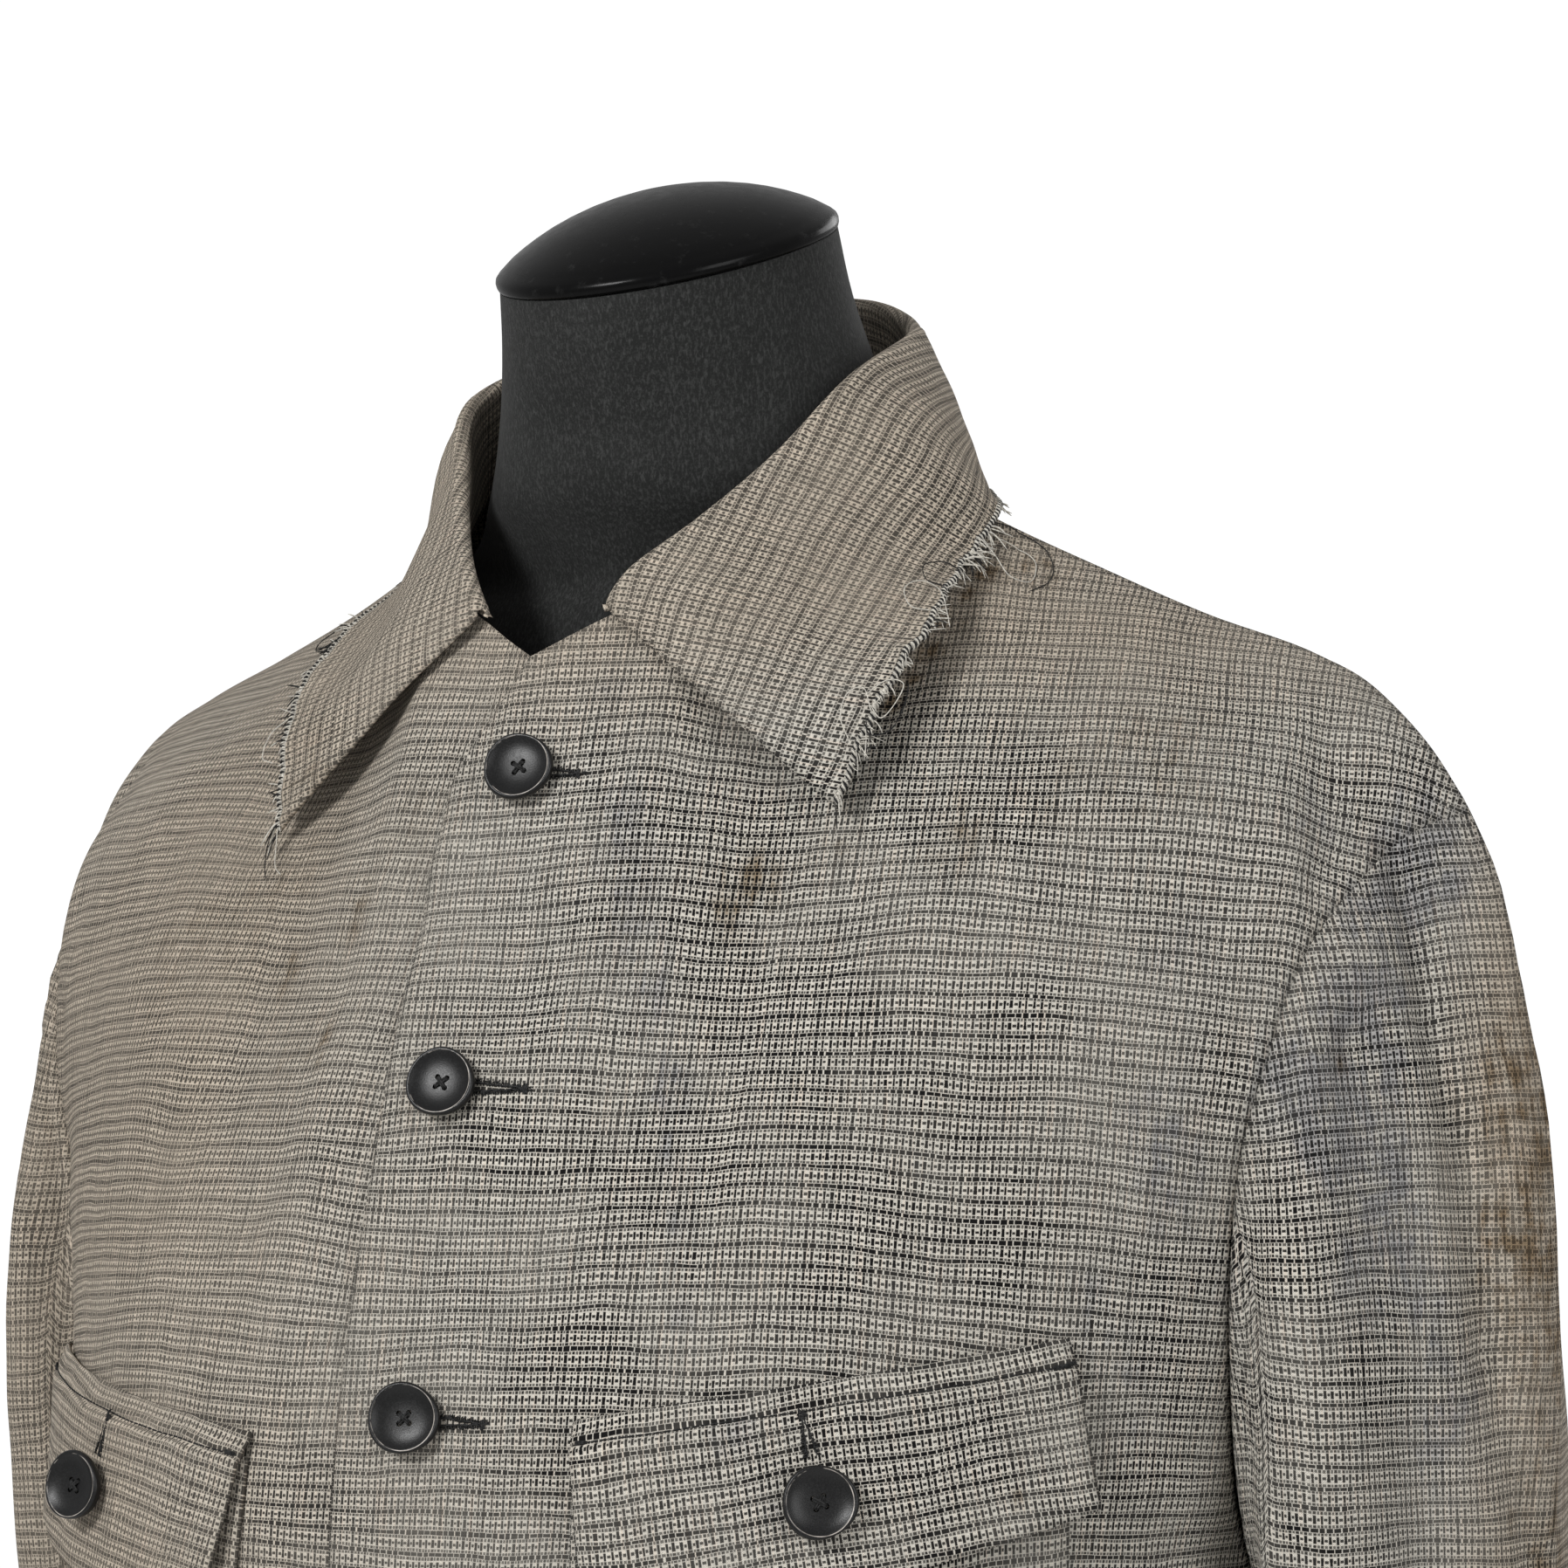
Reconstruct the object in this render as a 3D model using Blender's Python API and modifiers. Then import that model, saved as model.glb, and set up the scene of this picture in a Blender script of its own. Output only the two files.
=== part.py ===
"""Hunting jacket worn by a limbless dress form on a stand.

The world is in metres with +Z up. The jacket's front faces -Y and +X is the wearer's left.
The origin is on the floor under the middle of the stand's base.
Tables are in millimetres, and their heights are measured from the neck notch at the front.
"""

import math
from collections import namedtuple

import bmesh
import bpy
import numpy as np
from mathutils import Matrix, Vector

MM = 0.001
NOTCH_HEIGHT = 1.420

CLOTH = 1.6
COLLAR_CLOTH = 2.0
SEAM_GAP = 0.3
SEAM_SPARE = 0.05
LAY_GAP = 0.9

HEM = -642.0
UNDERARM = -275.0
UNDERARM_ROW = 0.55
CUFF = -640.0

HALF_GIRTH = 300.0
PANEL_RISE = 650.0
SLEEVE_LENGTH = 560.0
SLEEVE_LEAN = np.array([0.34, 0.04, -0.92])
SLEEVE_LEAN_LOW = np.array([0.06, 0.0, 0.0])
SLEEVE_LEAN_SIDE = np.array([0.0, 0.16, 0.0])

LAP = 18.0
LAP_SHARE = -0.06
NECK_SHARE = 0.27
CORNER_TRIM = 0.075
CORNER_ROW = 0.72
LAP_STEP = 2.4
LAP_STEP_ENDS = 1.1 * LAP, 2.6 * LAP

BUTTON_RADIUS = 9.5
BUTTON_THICKNESS = 4.2
BUTTON_PITCH = 91.0
FIRST_BUTTON = -33.0
FRONT_BUTTONS = 6
BUTTON_SEAT = 0.5

FLAP_INNER = 56.0
FLAP_WIDTH = 135.0
FLAP_TOP = -213.0
FLAP_SLANT = math.radians(9.5)
FLAP_SIDE = 41.0
FLAP_POINT = 50.0
FLAP_BUTTON_DROP = 26.0
FLAP_BUTTON_SHARE = 0.46
FLAP_BUTTON_LIFT = 0.2
FLAP_BOW = 1.6
FLAP_STAND_OFF = 2.2
FLAP_CORNER_LIFT = 1.5
FLAP_STEP_ENDS = 0.04, 0.20
POCKET_WIDTH = 133.0
POCKET_DEPTH = 165.0
POCKET_TOP_DROP = 7.0
POCKET_INSET = 1.0
POCKET_DRIFT = 3.0
POCKET_SWELL = 1.2
POCKET_SWELL_ENDS = 0.3, 0.6

BASE_RADIUS = 165.0
BASE_THICKNESS = 12.0
BASE_EDGE = 6.0
POLE_RADIUS = 13.0
FORM_BOTTOM = -705.0

Level = namedtuple("Level", "height half_width side_y front back square")
BODY = [
    Level(HEM, 188, 14, 152, 122, 2.45),
    Level(-560, 187, 14, 152, 119, 2.45),
    Level(-440, 185, 14, 152, 116, 2.45),
    Level(-340, 184, 14, 155, 120, 2.45),
    Level(UNDERARM, 185, 14, 157, 124, 2.45),
]

Top = namedtuple("Top", "share x y z lean_x lean_y lean_z")
FRONT_NECK = [
    Top(0.00, 0, -91, 0, 0.00, 0.30, 0.95),
    Top(0.07, 21, -83, 11, 0.00, 0.36, 0.93),
    Top(0.17, 49, -62, 26, 0.00, 0.50, 0.86),
    Top(NECK_SHARE, 76, -6, 53, 0.00, 0.68, 0.73),
]
FRONT_SHOULDER = [
    Top(NECK_SHARE, 76, -6, 53, 0.00, 0.68, 0.73),
    Top(0.36, 99, 1, 40, 0.00, 0.80, 0.60),
    Top(0.48, 128, 7, 26, 0.00, 0.89, 0.46),
    Top(0.62, 160, 9, 12, 0.00, 0.92, 0.39),
    Top(0.76, 192, 12, 0, 0.02, 0.90, 0.43),
    Top(0.88, 214, 11, -13, 0.08, 0.84, 0.53),
    Top(0.95, 229, 11, -29, 0.16, 0.74, 0.65),
    Top(1.00, 239, 12, -45, 0.22, 0.62, 0.75),
]
BACK_NECK = [
    Top(0.00, 0, 63, 78, 0.00, -0.42, 0.90),
    Top(0.10, 29, 57, 76, 0.00, -0.44, 0.89),
    Top(0.19, 54, 39, 70, 0.00, -0.52, 0.85),
    Top(0.24, 70, 13, 61, 0.00, -0.62, 0.78),
    Top(NECK_SHARE, 76, -6, 53, 0.00, -0.68, 0.73),
]

Place = namedtuple("Place", "x y z")
FRONT_ARMHOLE = [
    Place(185, 14, -272),
    Place(186, -20, -243),
    Place(193, -43, -195),
    Place(198, -48, -145),
    Place(206, -46, -113),
    Place(213, -35, -83),
    Place(222, -14, -60),
    Place(230, 0, -49),
    Place(239, 12, -45),
]
BACK_ARMHOLE = [
    Place(185, 14, -272),
    Place(186, 54, -248),
    Place(191, 80, -200),
    Place(198, 84, -150),
    Place(206, 74, -108),
    Place(215, 55, -78),
    Place(224, 38, -60),
    Place(232, 24, -50),
    Place(239, 12, -45),
]

Ring = namedtuple("Ring", "height x y outer inner half_y")
SLEEVE = [
    Ring(-335, 199, 30, 51, 6, 70),
    Ring(-430, 199, 24, 52, 6, 68),
    Ring(-500, 199, 16, 51, 6, 65),
    Ring(-570, 200, 7, 49, 6, 62),
    Ring(CUFF, 200, -3, 46, 6, 58),
]

Station = namedtuple("Station", "share roll_x roll_y roll_z left_x left_y left_z right_x right_y right_z")
COLLAR = [
    Station(0.070, 21.0, -84.5, 15.0, 95, -86, -45, 94, -86, -47),
    Station(0.115, 26.5, -81.0, 24.0, 99, -75, -20, 97, -75, -22),
    Station(0.170, 40.0, -66.0, 39.0, 99, -53, 2, 95, -53, 1),
    Station(0.220, 54.0, -48.0, 57.0, 98, -28, 23, 92, -28, 25),
    Station(0.270, 67.0, -24.0, 80.0, 99, 2, 44, 94, -3, 46),
    Station(0.300, 66.5, 4.0, 91.0, 83, 22, 48, 83, 20, 49),
    Station(0.350, 51.5, 30.0, 98.0, 61, 50, 49, 62, 50, 49),
    Station(0.440, 28.0, 50.0, 108.0, 36, 76, 50, 36, 76, 50),
    Station(0.540, 0.0, 56.0, 113.0, 0, 86, 50, 0, 86, 50),
]
ROLL_RADIUS = 2.7
FALL_BULGE = 2.4
COLLAR_SEAM_RISE = 0.5
ROLL_TURNS = 180, 135, 90, 45, 0
FALL_STEPS = 0.15, 0.35, 0.6, 0.8, 1.0

FormRing = namedtuple("FormRing", "height half_x y front back square lean")
FORM = [
    FormRing(-705, 142, -4, 100, 92, 2.2, 0),
    FormRing(-697, 155, -4, 108, 99, 2.2, 0),
    FormRing(-610, 160, -4, 116, 106, 2.2, 0),
    FormRing(-430, 140, -6, 100, 90, 2.2, 0),
    FormRing(-300, 152, -4, 118, 102, 2.3, 0),
    FormRing(-200, 162, 0, 122, 104, 2.3, 0),
    FormRing(-130, 176, 8, 110, 90, 2.1, 0),
    FormRing(-80, 190, 12, 96, 74, 1.8, 0),
    FormRing(-45, 202, 12, 84, 58, 1.55, 0),
    FormRing(-24, 207, 12, 76, 48, 1.35, 0),
    FormRing(-12, 200, 12, 70, 43, 1.25, 0),
    FormRing(-3, 187, 11, 66, 39, 1.2, 0),
    FormRing(6, 165, 10, 63, 36, 1.2, 0),
    FormRing(18, 132, 7, 58, 31, 1.25, 1),
    FormRing(27, 102, 4, 52, 29, 1.35, 2),
    FormRing(38, 79, 1, 49, 31, 1.6, 3),
    FormRing(54, 61, -2, 51, 40, 2.0, 7),
    FormRing(80, 54, -7, 52, 44, 2.0, 12),
    FormRing(104, 49, -15, 51, 46, 2.0, 16),
    FormRing(118, 47.5, -20, 51, 48, 2.0, 17),
]
CapRing = namedtuple("CapRing", "rise scale")
CAP = [
    CapRing(0.3, 1.00),
    CapRing(2.6, 1.015),
    CapRing(4.6, 0.99),
    CapRing(7.6, 0.91),
    CapRing(11.4, 0.77),
    CapRing(15.2, 0.58),
    CapRing(18.0, 0.36),
    CapRing(19.4, 0.14),
]

Fold = namedtuple("Fold", "share row to_share to_row width depth")
FRONT_FOLDS = [
    Fold(0.30, 0.00, 0.36, 0.50, 22, 5.0),
    Fold(0.62, 0.00, 0.60, 0.45, 24, -5.0),
    Fold(0.86, 0.00, 0.84, 0.42, 20, 3.5),
    Fold(0.88, 0.62, 0.94, 0.84, 12, -3.0),
    Fold(0.93, 0.86, 0.86, 0.95, 12, -3.5),
    Fold(0.20, 0.55, 0.48, 0.80, 26, 2.2),
    Fold(0.08, 0.86, 0.40, 0.72, 16, -1.6),
]
BACK_FOLDS = [
    Fold(0.22, 0.00, 0.18, 0.48, 24, 6.0),
    Fold(0.55, 0.00, 0.57, 0.50, 26, -5.5),
    Fold(0.82, 0.00, 0.84, 0.52, 22, 5.0),
    Fold(0.80, 0.58, 0.90, 0.82, 14, 3.5),
    Fold(0.66, 0.60, 0.82, 0.90, 14, -3.0),
]
TubeFold = namedtuple("TubeFold", "turn row to_turn to_row width depth")
SLEEVE_FOLDS = [
    TubeFold(-38, 0.06, -34, 0.70, 11, -5.0),
    TubeFold(-70, 0.10, -62, 0.55, 12, 2.5),
    TubeFold(-5, 0.14, -12, 0.80, 12, 2.0),
    TubeFold(60, 0.10, 52, 0.75, 14, -4.5),
    TubeFold(100, 0.25, 84, 0.85, 14, 3.0),
    TubeFold(-88, 0.55, -52, 0.64, 12, -4.0),
    TubeFold(-85, 0.66, -40, 0.74, 11, 3.0),
]


def smooth(value):
    """A step from 0 to 1 with flat ends."""
    value = min(max(value, 0.0), 1.0)
    return value * value * (3 - 2 * value)


def spline(keys, points, at):
    """A Catmull-Rom curve through points, each at its key, read at one value."""
    keys = np.asarray(keys, float)
    points = np.asarray(points, float)
    at = min(max(at, keys[0]), keys[-1])
    i = min(int(np.searchsorted(keys, at, side="right")) - 1, len(keys) - 2)
    slopes = np.gradient(points, keys, axis=0)
    span = keys[i + 1] - keys[i]
    t = (at - keys[i]) / span
    return (
        (2 * t**3 - 3 * t**2 + 1) * points[i]
        + (t**3 - 2 * t**2 + t) * span * slopes[i]
        + (3 * t**2 - 2 * t**3) * points[i + 1]
        + (t**3 - t**2) * span * slopes[i + 1]
    )


def hermite(start, start_lean, end, end_lean, t):
    """A point on the curve that leaves start along one lean and reaches end along another."""
    reach = np.linalg.norm(end - start)
    return (
        (2 * t**3 - 3 * t**2 + 1) * start
        + (t**3 - 2 * t**2 + t) * reach * start_lean
        + (3 * t**2 - 2 * t**3) * end
        + (t**3 - t**2) * reach * end_lean
    )


def along(points, share):
    """The point at a share of a polyline's length."""
    points = np.asarray(points, float)
    steps = np.linalg.norm(np.diff(points, axis=0), axis=1)
    length = np.concatenate([[0], np.cumsum(steps)])
    return np.array([np.interp(share * length[-1], length, points[:, k]) for k in range(3)])


def smooth_line(table, count=64):
    """A smooth polyline through a table of places."""
    keys = np.arange(len(table))
    return np.array([spline(keys, table, at) for at in np.linspace(0, len(table) - 1, count)])


def body_level(height):
    """The body's section sizes at one height, between the rows of BODY."""
    heights = [row.height for row in BODY]
    sizes = spline(heights, [row[1:] for row in BODY], height)
    return Level(height, *sizes)


def ring_point(height, share, back):
    """A point on the quarter section from the centre line (share 0) to the side (share 1)."""
    level = body_level(height)
    depth = level.back - level.side_y if back else level.front + level.side_y
    turns = np.linspace(0, math.pi / 2, RING_SAMPLES)
    x = level.half_width * np.sin(turns) ** (2 / level.square)
    y = depth * np.cos(turns) ** (2 / level.square)
    y = level.side_y + y if back else level.side_y - y
    quarter = np.stack([x, y, np.full_like(x, height)], 1)
    return along(quarter, share)


def top_point(share, back):
    """The panel's top edge at a share, neckline then shoulder seam, and the way the cloth meets it."""
    neck = BACK_NECK if back else FRONT_NECK
    rows = neck if share <= NECK_SHARE else FRONT_SHOULDER
    values = spline([row.share for row in rows], [row[1:] for row in rows], share)
    lean = values[3:].copy()
    if back and share > NECK_SHARE:
        lean[1] = -lean[1]
    return values[:3], lean / np.linalg.norm(lean)


def fold_lift(folds, share, row, across, down):
    """How far soft ridges and troughs move a point outwards, in millimetres."""
    here = np.array([share * across, row * down])
    lift = 0.0
    for fold in folds:
        start = np.array([fold[0] * across, fold[1] * down])
        end = np.array([fold[2] * across, fold[3] * down])
        line = end - start
        t = float(np.dot(here - start, line) / np.dot(line, line))
        near = start + min(max(t, 0.0), 1.0) * line
        away = np.linalg.norm(here - near) / fold.width
        lift += fold.depth * math.exp(-away * away)
    return lift


def body_point(share, row, back):
    """A point on the body's surface. Shares below 0 lie past the centre front."""
    if share < 0:
        return body_point(-share, row, back) * np.array([-1, 1, 1])
    if row <= UNDERARM_ROW:
        height = HEM + (UNDERARM - HEM) * row / UNDERARM_ROW
        return ring_point(height, share, back)
    t = (row - UNDERARM_ROW) / (1 - UNDERARM_ROW)
    end, lean = top_point(share, back)
    start = ring_point(UNDERARM, share, back)
    return hermite(start, np.array([0, 0, 1.0]), end, lean, t)


def body_folded(share, row, back):
    """The body's surface with its folds. Past the centre front it mirrors the other side."""
    if share < 0:
        trim = CORNER_TRIM * smooth((row - CORNER_ROW) / (1 - CORNER_ROW)) * share / LAP_SHARE
        return body_folded(-share, row - trim, back) * np.array([-1, 1, 1])
    folds = BACK_FOLDS if back else FRONT_FOLDS
    here = body_point(share, row, back)
    step = 0.01
    side = body_point(min(share + step, 1.0), row, back) - body_point(share - step, row, back)
    rise = body_point(share, min(row + step, 1.0), back) - body_point(share, row - step, back)
    out = np.cross(side, rise)
    if back:
        out = -out
    out = out / np.linalg.norm(out)
    return here + out * fold_lift(folds, share, row, HALF_GIRTH, PANEL_RISE)


def seam_path(back, rows):
    """Where each row above the underarm meets the armhole: its place, share and row on the body."""
    edge = smooth_line(BACK_ARMHOLE if back else FRONT_ARMHOLE)
    shares = np.linspace(0.5, 1.0, 41)
    levels = np.linspace(UNDERARM_ROW, 1.0, 46)
    net = np.array([[body_point(s, r, back) for s in shares] for r in levels])
    found = []
    for j in range(rows + 1):
        place = along(edge, j / rows)
        away = np.linalg.norm(net - place, axis=2)
        i, k = np.unravel_index(np.argmin(away), away.shape)
        found.append((place, shares[k], levels[i]))
    found[0] = (found[0][0], 1.0, UNDERARM_ROW)
    found[-1] = (found[-1][0], 1.0, 1.0)
    return found


def panel_grid(shares, low_rows, high_rows, back):
    """A half panel's points: rows from the hem up, columns from the centre to the side and armhole."""
    rows = []
    for j in range(low_rows):
        row = UNDERARM_ROW * j / low_rows
        rows.append([body_folded(s, row, back) for s in shares])
    seam = seam_path(back, high_rows)
    for j, (place, seam_share, seam_row) in enumerate(seam):
        row = UNDERARM_ROW + (1 - UNDERARM_ROW) * j / high_rows
        miss = place - body_folded(seam_share, seam_row, back)
        line = []
        for s in shares:
            pull = max(s, 0.0) ** 3
            share = s * (seam_share if s > 0 else 1.0)
            if j == high_rows:
                share = s
            level = row + (seam_row - row) * pull
            line.append(body_folded(share, level, back) + miss * pull)
        rows.append(line)
    return np.array(rows)


def grid_normals(grid, around=False):
    """Outward unit normals of a grid of points, worked out from its neighbours."""
    if around:
        side = np.roll(grid, -1, axis=1) - np.roll(grid, 1, axis=1)
    else:
        side = np.gradient(grid, axis=1)
    rise = np.gradient(grid, axis=0)
    out = np.cross(side, rise)
    return out / np.linalg.norm(out, axis=2, keepdims=True)


def shrink_edges(grid, bottom=0.0, top=0.0, start=0.0, end=0.0):
    """Moves a grid's edges inwards along its own surface, to leave a seam's gap."""
    grid = grid.copy()

    def pull(edge, inner, gap):
        way = inner - edge
        return edge + way / np.linalg.norm(way, axis=-1, keepdims=True) * gap

    if top:
        grid[-1] = pull(grid[-1], grid[-2], top)
    if bottom:
        grid[0] = pull(grid[0], grid[1], bottom)
    if start:
        grid[:, 0] = pull(grid[:, 0], grid[:, 1], start)
    if end:
        grid[:, -1] = pull(grid[:, -1], grid[:, -2], end)
    return grid


def to_world(point):
    """From the tables' millimetres to the world's metres."""
    return Vector((point[0] * MM, point[1] * MM, NOTCH_HEIGHT + point[2] * MM))


def material(name, colour, roughness, metallic=0.0):
    """A Principled material."""
    made = bpy.data.materials.get(name) or bpy.data.materials.new(name)
    made.use_nodes = True
    shader = made.node_tree.nodes["Principled BSDF"]
    shader.inputs["Base Color"].default_value = (*colour, 1.0)
    shader.inputs["Roughness"].default_value = roughness
    shader.inputs["Metallic"].default_value = metallic
    return made


def add_object(name, shape, finish, collection):
    """Turns a bmesh into a named, smooth shaded object."""
    mesh = bpy.data.meshes.new(name)
    shape.to_mesh(mesh)
    shape.free()
    mesh.materials.append(finish)
    made = bpy.data.objects.new(name, mesh)
    collection.objects.link(made)
    mesh.shade_smooth()
    mesh.set_sharp_from_angle(angle=SHARP_ANGLE)
    return made


def cloth_wall(name, grid, normals, thickness, finish, collection, around=False):
    """A closed wall lofted through rows of unlike sections: the outer face is the grid itself."""
    shape = bmesh.new()
    rows, columns = grid.shape[:2]
    outer = [[shape.verts.new(to_world(p)) for p in row] for row in grid]
    inner_grid = grid - normals * thickness
    inner = [[shape.verts.new(to_world(p)) for p in row] for row in inner_grid]
    last = columns if around else columns - 1
    for j in range(rows - 1):
        for i in range(last):
            k = (i + 1) % columns
            shape.faces.new((outer[j][i], outer[j][k], outer[j + 1][k], outer[j + 1][i]))
            shape.faces.new((inner[j][i], inner[j + 1][i], inner[j + 1][k], inner[j][k]))
    for j, k in ((0, 0), (rows - 1, 1)):
        for i in range(last):
            n = (i + 1) % columns
            face = (outer[j][i], inner[j][i], inner[j][n], outer[j][n])
            shape.faces.new(face if k == 0 else face[::-1])
    if not around:
        for i, k in ((0, 1), (columns - 1, 0)):
            for j in range(rows - 1):
                face = (outer[j][i], inner[j][i], inner[j + 1][i], outer[j + 1][i])
                shape.faces.new(face if k == 0 else face[::-1])
    bmesh.ops.recalc_face_normals(shape, faces=shape.faces)
    return add_object(name, shape, finish, collection)


def ring_solid(name, rings, finish, collection):
    """A closed solid lofted through rings of points, with flat ends."""
    shape = bmesh.new()
    loops = [[shape.verts.new(to_world(p)) for p in ring] for ring in rings]
    count = len(loops[0])
    for low, high in zip(loops, loops[1:]):
        for i in range(count):
            k = (i + 1) % count
            shape.faces.new((low[i], low[k], high[k], high[i]))
    shape.faces.new(loops[0][::-1])
    shape.faces.new(loops[-1])
    bmesh.ops.recalc_face_normals(shape, faces=shape.faces)
    return add_object(name, shape, finish, collection)


def mirrored(grid):
    """The grid of the other side of the wearer, with its columns reversed so that it faces out."""
    return (grid * np.array([-1, 1, 1]))[:, ::-1]


LOW_ROWS = 8
HIGH_ROWS = 10
NECK_COLUMNS = 4
SHOULDER_COLUMNS = 12
LAP_COLUMNS = 2
SLEEVE_CAP_ROWS = 8
SLEEVE_LOW_ROWS = 8
COLLAR_COLUMNS = 12
FORM_SIDES = 32
BUTTON_SIDES = 16
BASE_SIDES = 40
POLE_SIDES = 20
POCKET_CELLS = 12, 8
FLAP_CELLS = 12, 6
RING_SAMPLES = 49
SHARP_ANGLE = math.radians(50)
SCREW_MERGE = 0.00002

CLOTH_COLOUR = (0.42, 0.37, 0.31)
FORM_COLOUR = (0.035, 0.035, 0.034)
GLOSS_COLOUR = (0.006, 0.006, 0.006)
METAL_COLOUR = (0.02, 0.02, 0.02)


def half_shares(lap):
    """Column shares from the centre to the side, with one at the neck point."""
    neck = list(np.linspace(0.0, NECK_SHARE, NECK_COLUMNS + 1))
    shoulder = list(np.linspace(NECK_SHARE, 1.0, SHOULDER_COLUMNS + 1))[1:]
    under = list(np.linspace(LAP_SHARE, 0.0, LAP_COLUMNS + 1))[:-1] if lap else []
    return under + neck + shoulder


def share_normals(*rows):
    """Gives rows of normals that meet at a seam their mean, so that the walls stay side by side."""
    mean = sum(rows)
    mean = mean / np.linalg.norm(mean, axis=1, keepdims=True)
    for row in rows:
        row[:] = mean


def lap_under(grid, normals):
    """Sinks the under front beneath the upper one where they lap."""
    full, none = LAP_STEP_ENDS
    reach = (none - grid[..., 0]) / (none - full)
    depth = LAP_STEP * np.vectorize(smooth)(reach)
    return grid - normals * depth[..., None]


def sleeve_section(height, turn):
    """A point on the sleeve's section below the armhole. Turn is 0 outside and -90 at the front."""
    heights = [row.height for row in reversed(SLEEVE)]
    sizes = [row[1:] for row in reversed(SLEEVE)]
    x, y, outer, inner, half_y = spline(heights, sizes, height)
    turn = math.radians(turn)
    half_x = outer if math.cos(turn) > 0 else inner
    return np.array([x + half_x * math.cos(turn), y + half_y * math.sin(turn), height])


def sleeve_turns():
    """The turn of each sleeve column: from the top, down the front, and up the back."""
    step = 180.0 / HIGH_ROWS
    front = [-step * i for i in range(HIGH_ROWS + 1)]
    back = [180.0 - step * i for i in range(1, HIGH_ROWS)]
    return front + back


def sleeve_grid(edge):
    """The sleeve's rings from the armhole's edge down to the cuff."""
    turns = sleeve_turns()
    bicep = SLEEVE[0].height
    rings = []
    for j in range(SLEEVE_CAP_ROWS):
        ring = []
        for start, turn in zip(edge, turns):
            low = abs(turn) / 180.0
            side = math.sin(math.radians(turn))
            lean = SLEEVE_LEAN + SLEEVE_LEAN_LOW * low + SLEEVE_LEAN_SIDE * side
            end = sleeve_section(bicep, turn)
            ring.append(hermite(start, lean, end, np.array([0, 0, -1.0]), j / SLEEVE_CAP_ROWS))
        rings.append(ring)
    for j in range(SLEEVE_LOW_ROWS + 1):
        height = bicep + (CUFF - bicep) * j / SLEEVE_LOW_ROWS
        rings.append([sleeve_section(height, turn) for turn in turns])
    grid = np.array(rings)
    out = grid_normals(grid, around=True)
    last = len(grid) - 1
    for j in range(1, last + 1):
        for i, turn in enumerate(turns):
            grid[j, i] += out[j, i] * fold_lift(SLEEVE_FOLDS, turn, j / last, 1.0, SLEEVE_LENGTH)
    return grid


def neckline(share):
    """The neckline from the centre front (0) over the neck point to the centre back."""
    back = share > NECK_SHARE
    return top_point(2 * NECK_SHARE - share if back else share, back)[0]


def collar_half(left):
    """The collar's sections on one side: up the stand, over the roll and down the fall."""
    keys = [row.share for row in COLLAR]
    sizes = [row[1:7] if left else row[1:4] + row[7:] for row in COLLAR]
    sections = []
    step = 0.004
    for share in np.linspace(keys[0], keys[-1], COLLAR_COLUMNS + 1):
        roll, edge = np.split(spline(keys, sizes, share), 2)
        before, after = (spline(keys, sizes, share + way)[:3] for way in (-step, step))
        run = (after - before) / np.linalg.norm(after - before)
        seam = neckline(share)
        rise = (roll - seam) / np.linalg.norm(roll - seam)
        out = np.cross(run, rise)
        out /= np.linalg.norm(out)
        seam = seam + rise * COLLAR_SEAM_RISE - out * COLLAR_CLOTH
        centre = roll - rise * ROLL_RADIUS
        section = [seam, seam + (centre - out * ROLL_RADIUS - seam) * 0.5]
        for turn in ROLL_TURNS:
            turn = math.radians(turn)
            section.append(centre + ROLL_RADIUS * (out * math.cos(turn) + rise * math.sin(turn)))
        start = section[-1]
        swell = np.cross(edge - start, run)
        swell *= FALL_BULGE / np.linalg.norm(swell)
        for t in FALL_STEPS:
            section.append(start + (edge - start) * t + swell * math.sin(math.pi * t))
        sections.append(section)
    return np.array(sections)


def collar_grid():
    """The whole collar, from the wearer's right end round the back to the left end."""
    left = collar_half(left=True)
    right = collar_half(left=False) * np.array([-1, 1, 1])
    return np.concatenate([right, left[-2::-1]]).transpose(1, 0, 2)


def panel_spot(grid, normals, across, height):
    """The place and normal on a front, at a distance from the centre line and a height."""
    low, high = 0.0, len(grid) - 1.001
    for _ in range(30):
        middle = (low + high) / 2
        j = int(middle)
        line = grid[j] + (grid[j + 1] - grid[j]) * (middle - j)
        steps = np.linalg.norm(np.diff(line[LAP_COLUMNS:], axis=0), axis=1)
        length = np.concatenate([[0], np.cumsum(steps)])
        place = np.array([np.interp(across, length, line[LAP_COLUMNS:, k]) for k in range(3)])
        if place[2] < height:
            low = middle
        else:
            high = middle
    blend = normals[j] + (normals[j + 1] - normals[j]) * (middle - j)
    normal = np.array([np.interp(across, length, blend[LAP_COLUMNS:, k]) for k in range(3)])
    return place, normal / np.linalg.norm(normal)


def laid_grid(grid, normals, columns, rows, spot):
    """A grid that lies on a front. spot gives across, height and lift at two shares."""
    made = []
    for b in np.linspace(1.0, 0.0, rows + 1):
        line = []
        for a in np.linspace(0.0, 1.0, columns + 1):
            across, height, lift = spot(a, b)
            place, normal = panel_spot(grid, normals, across, height)
            line.append(place + normal * lift)
        made.append(line)
    return np.array(made)


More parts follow.
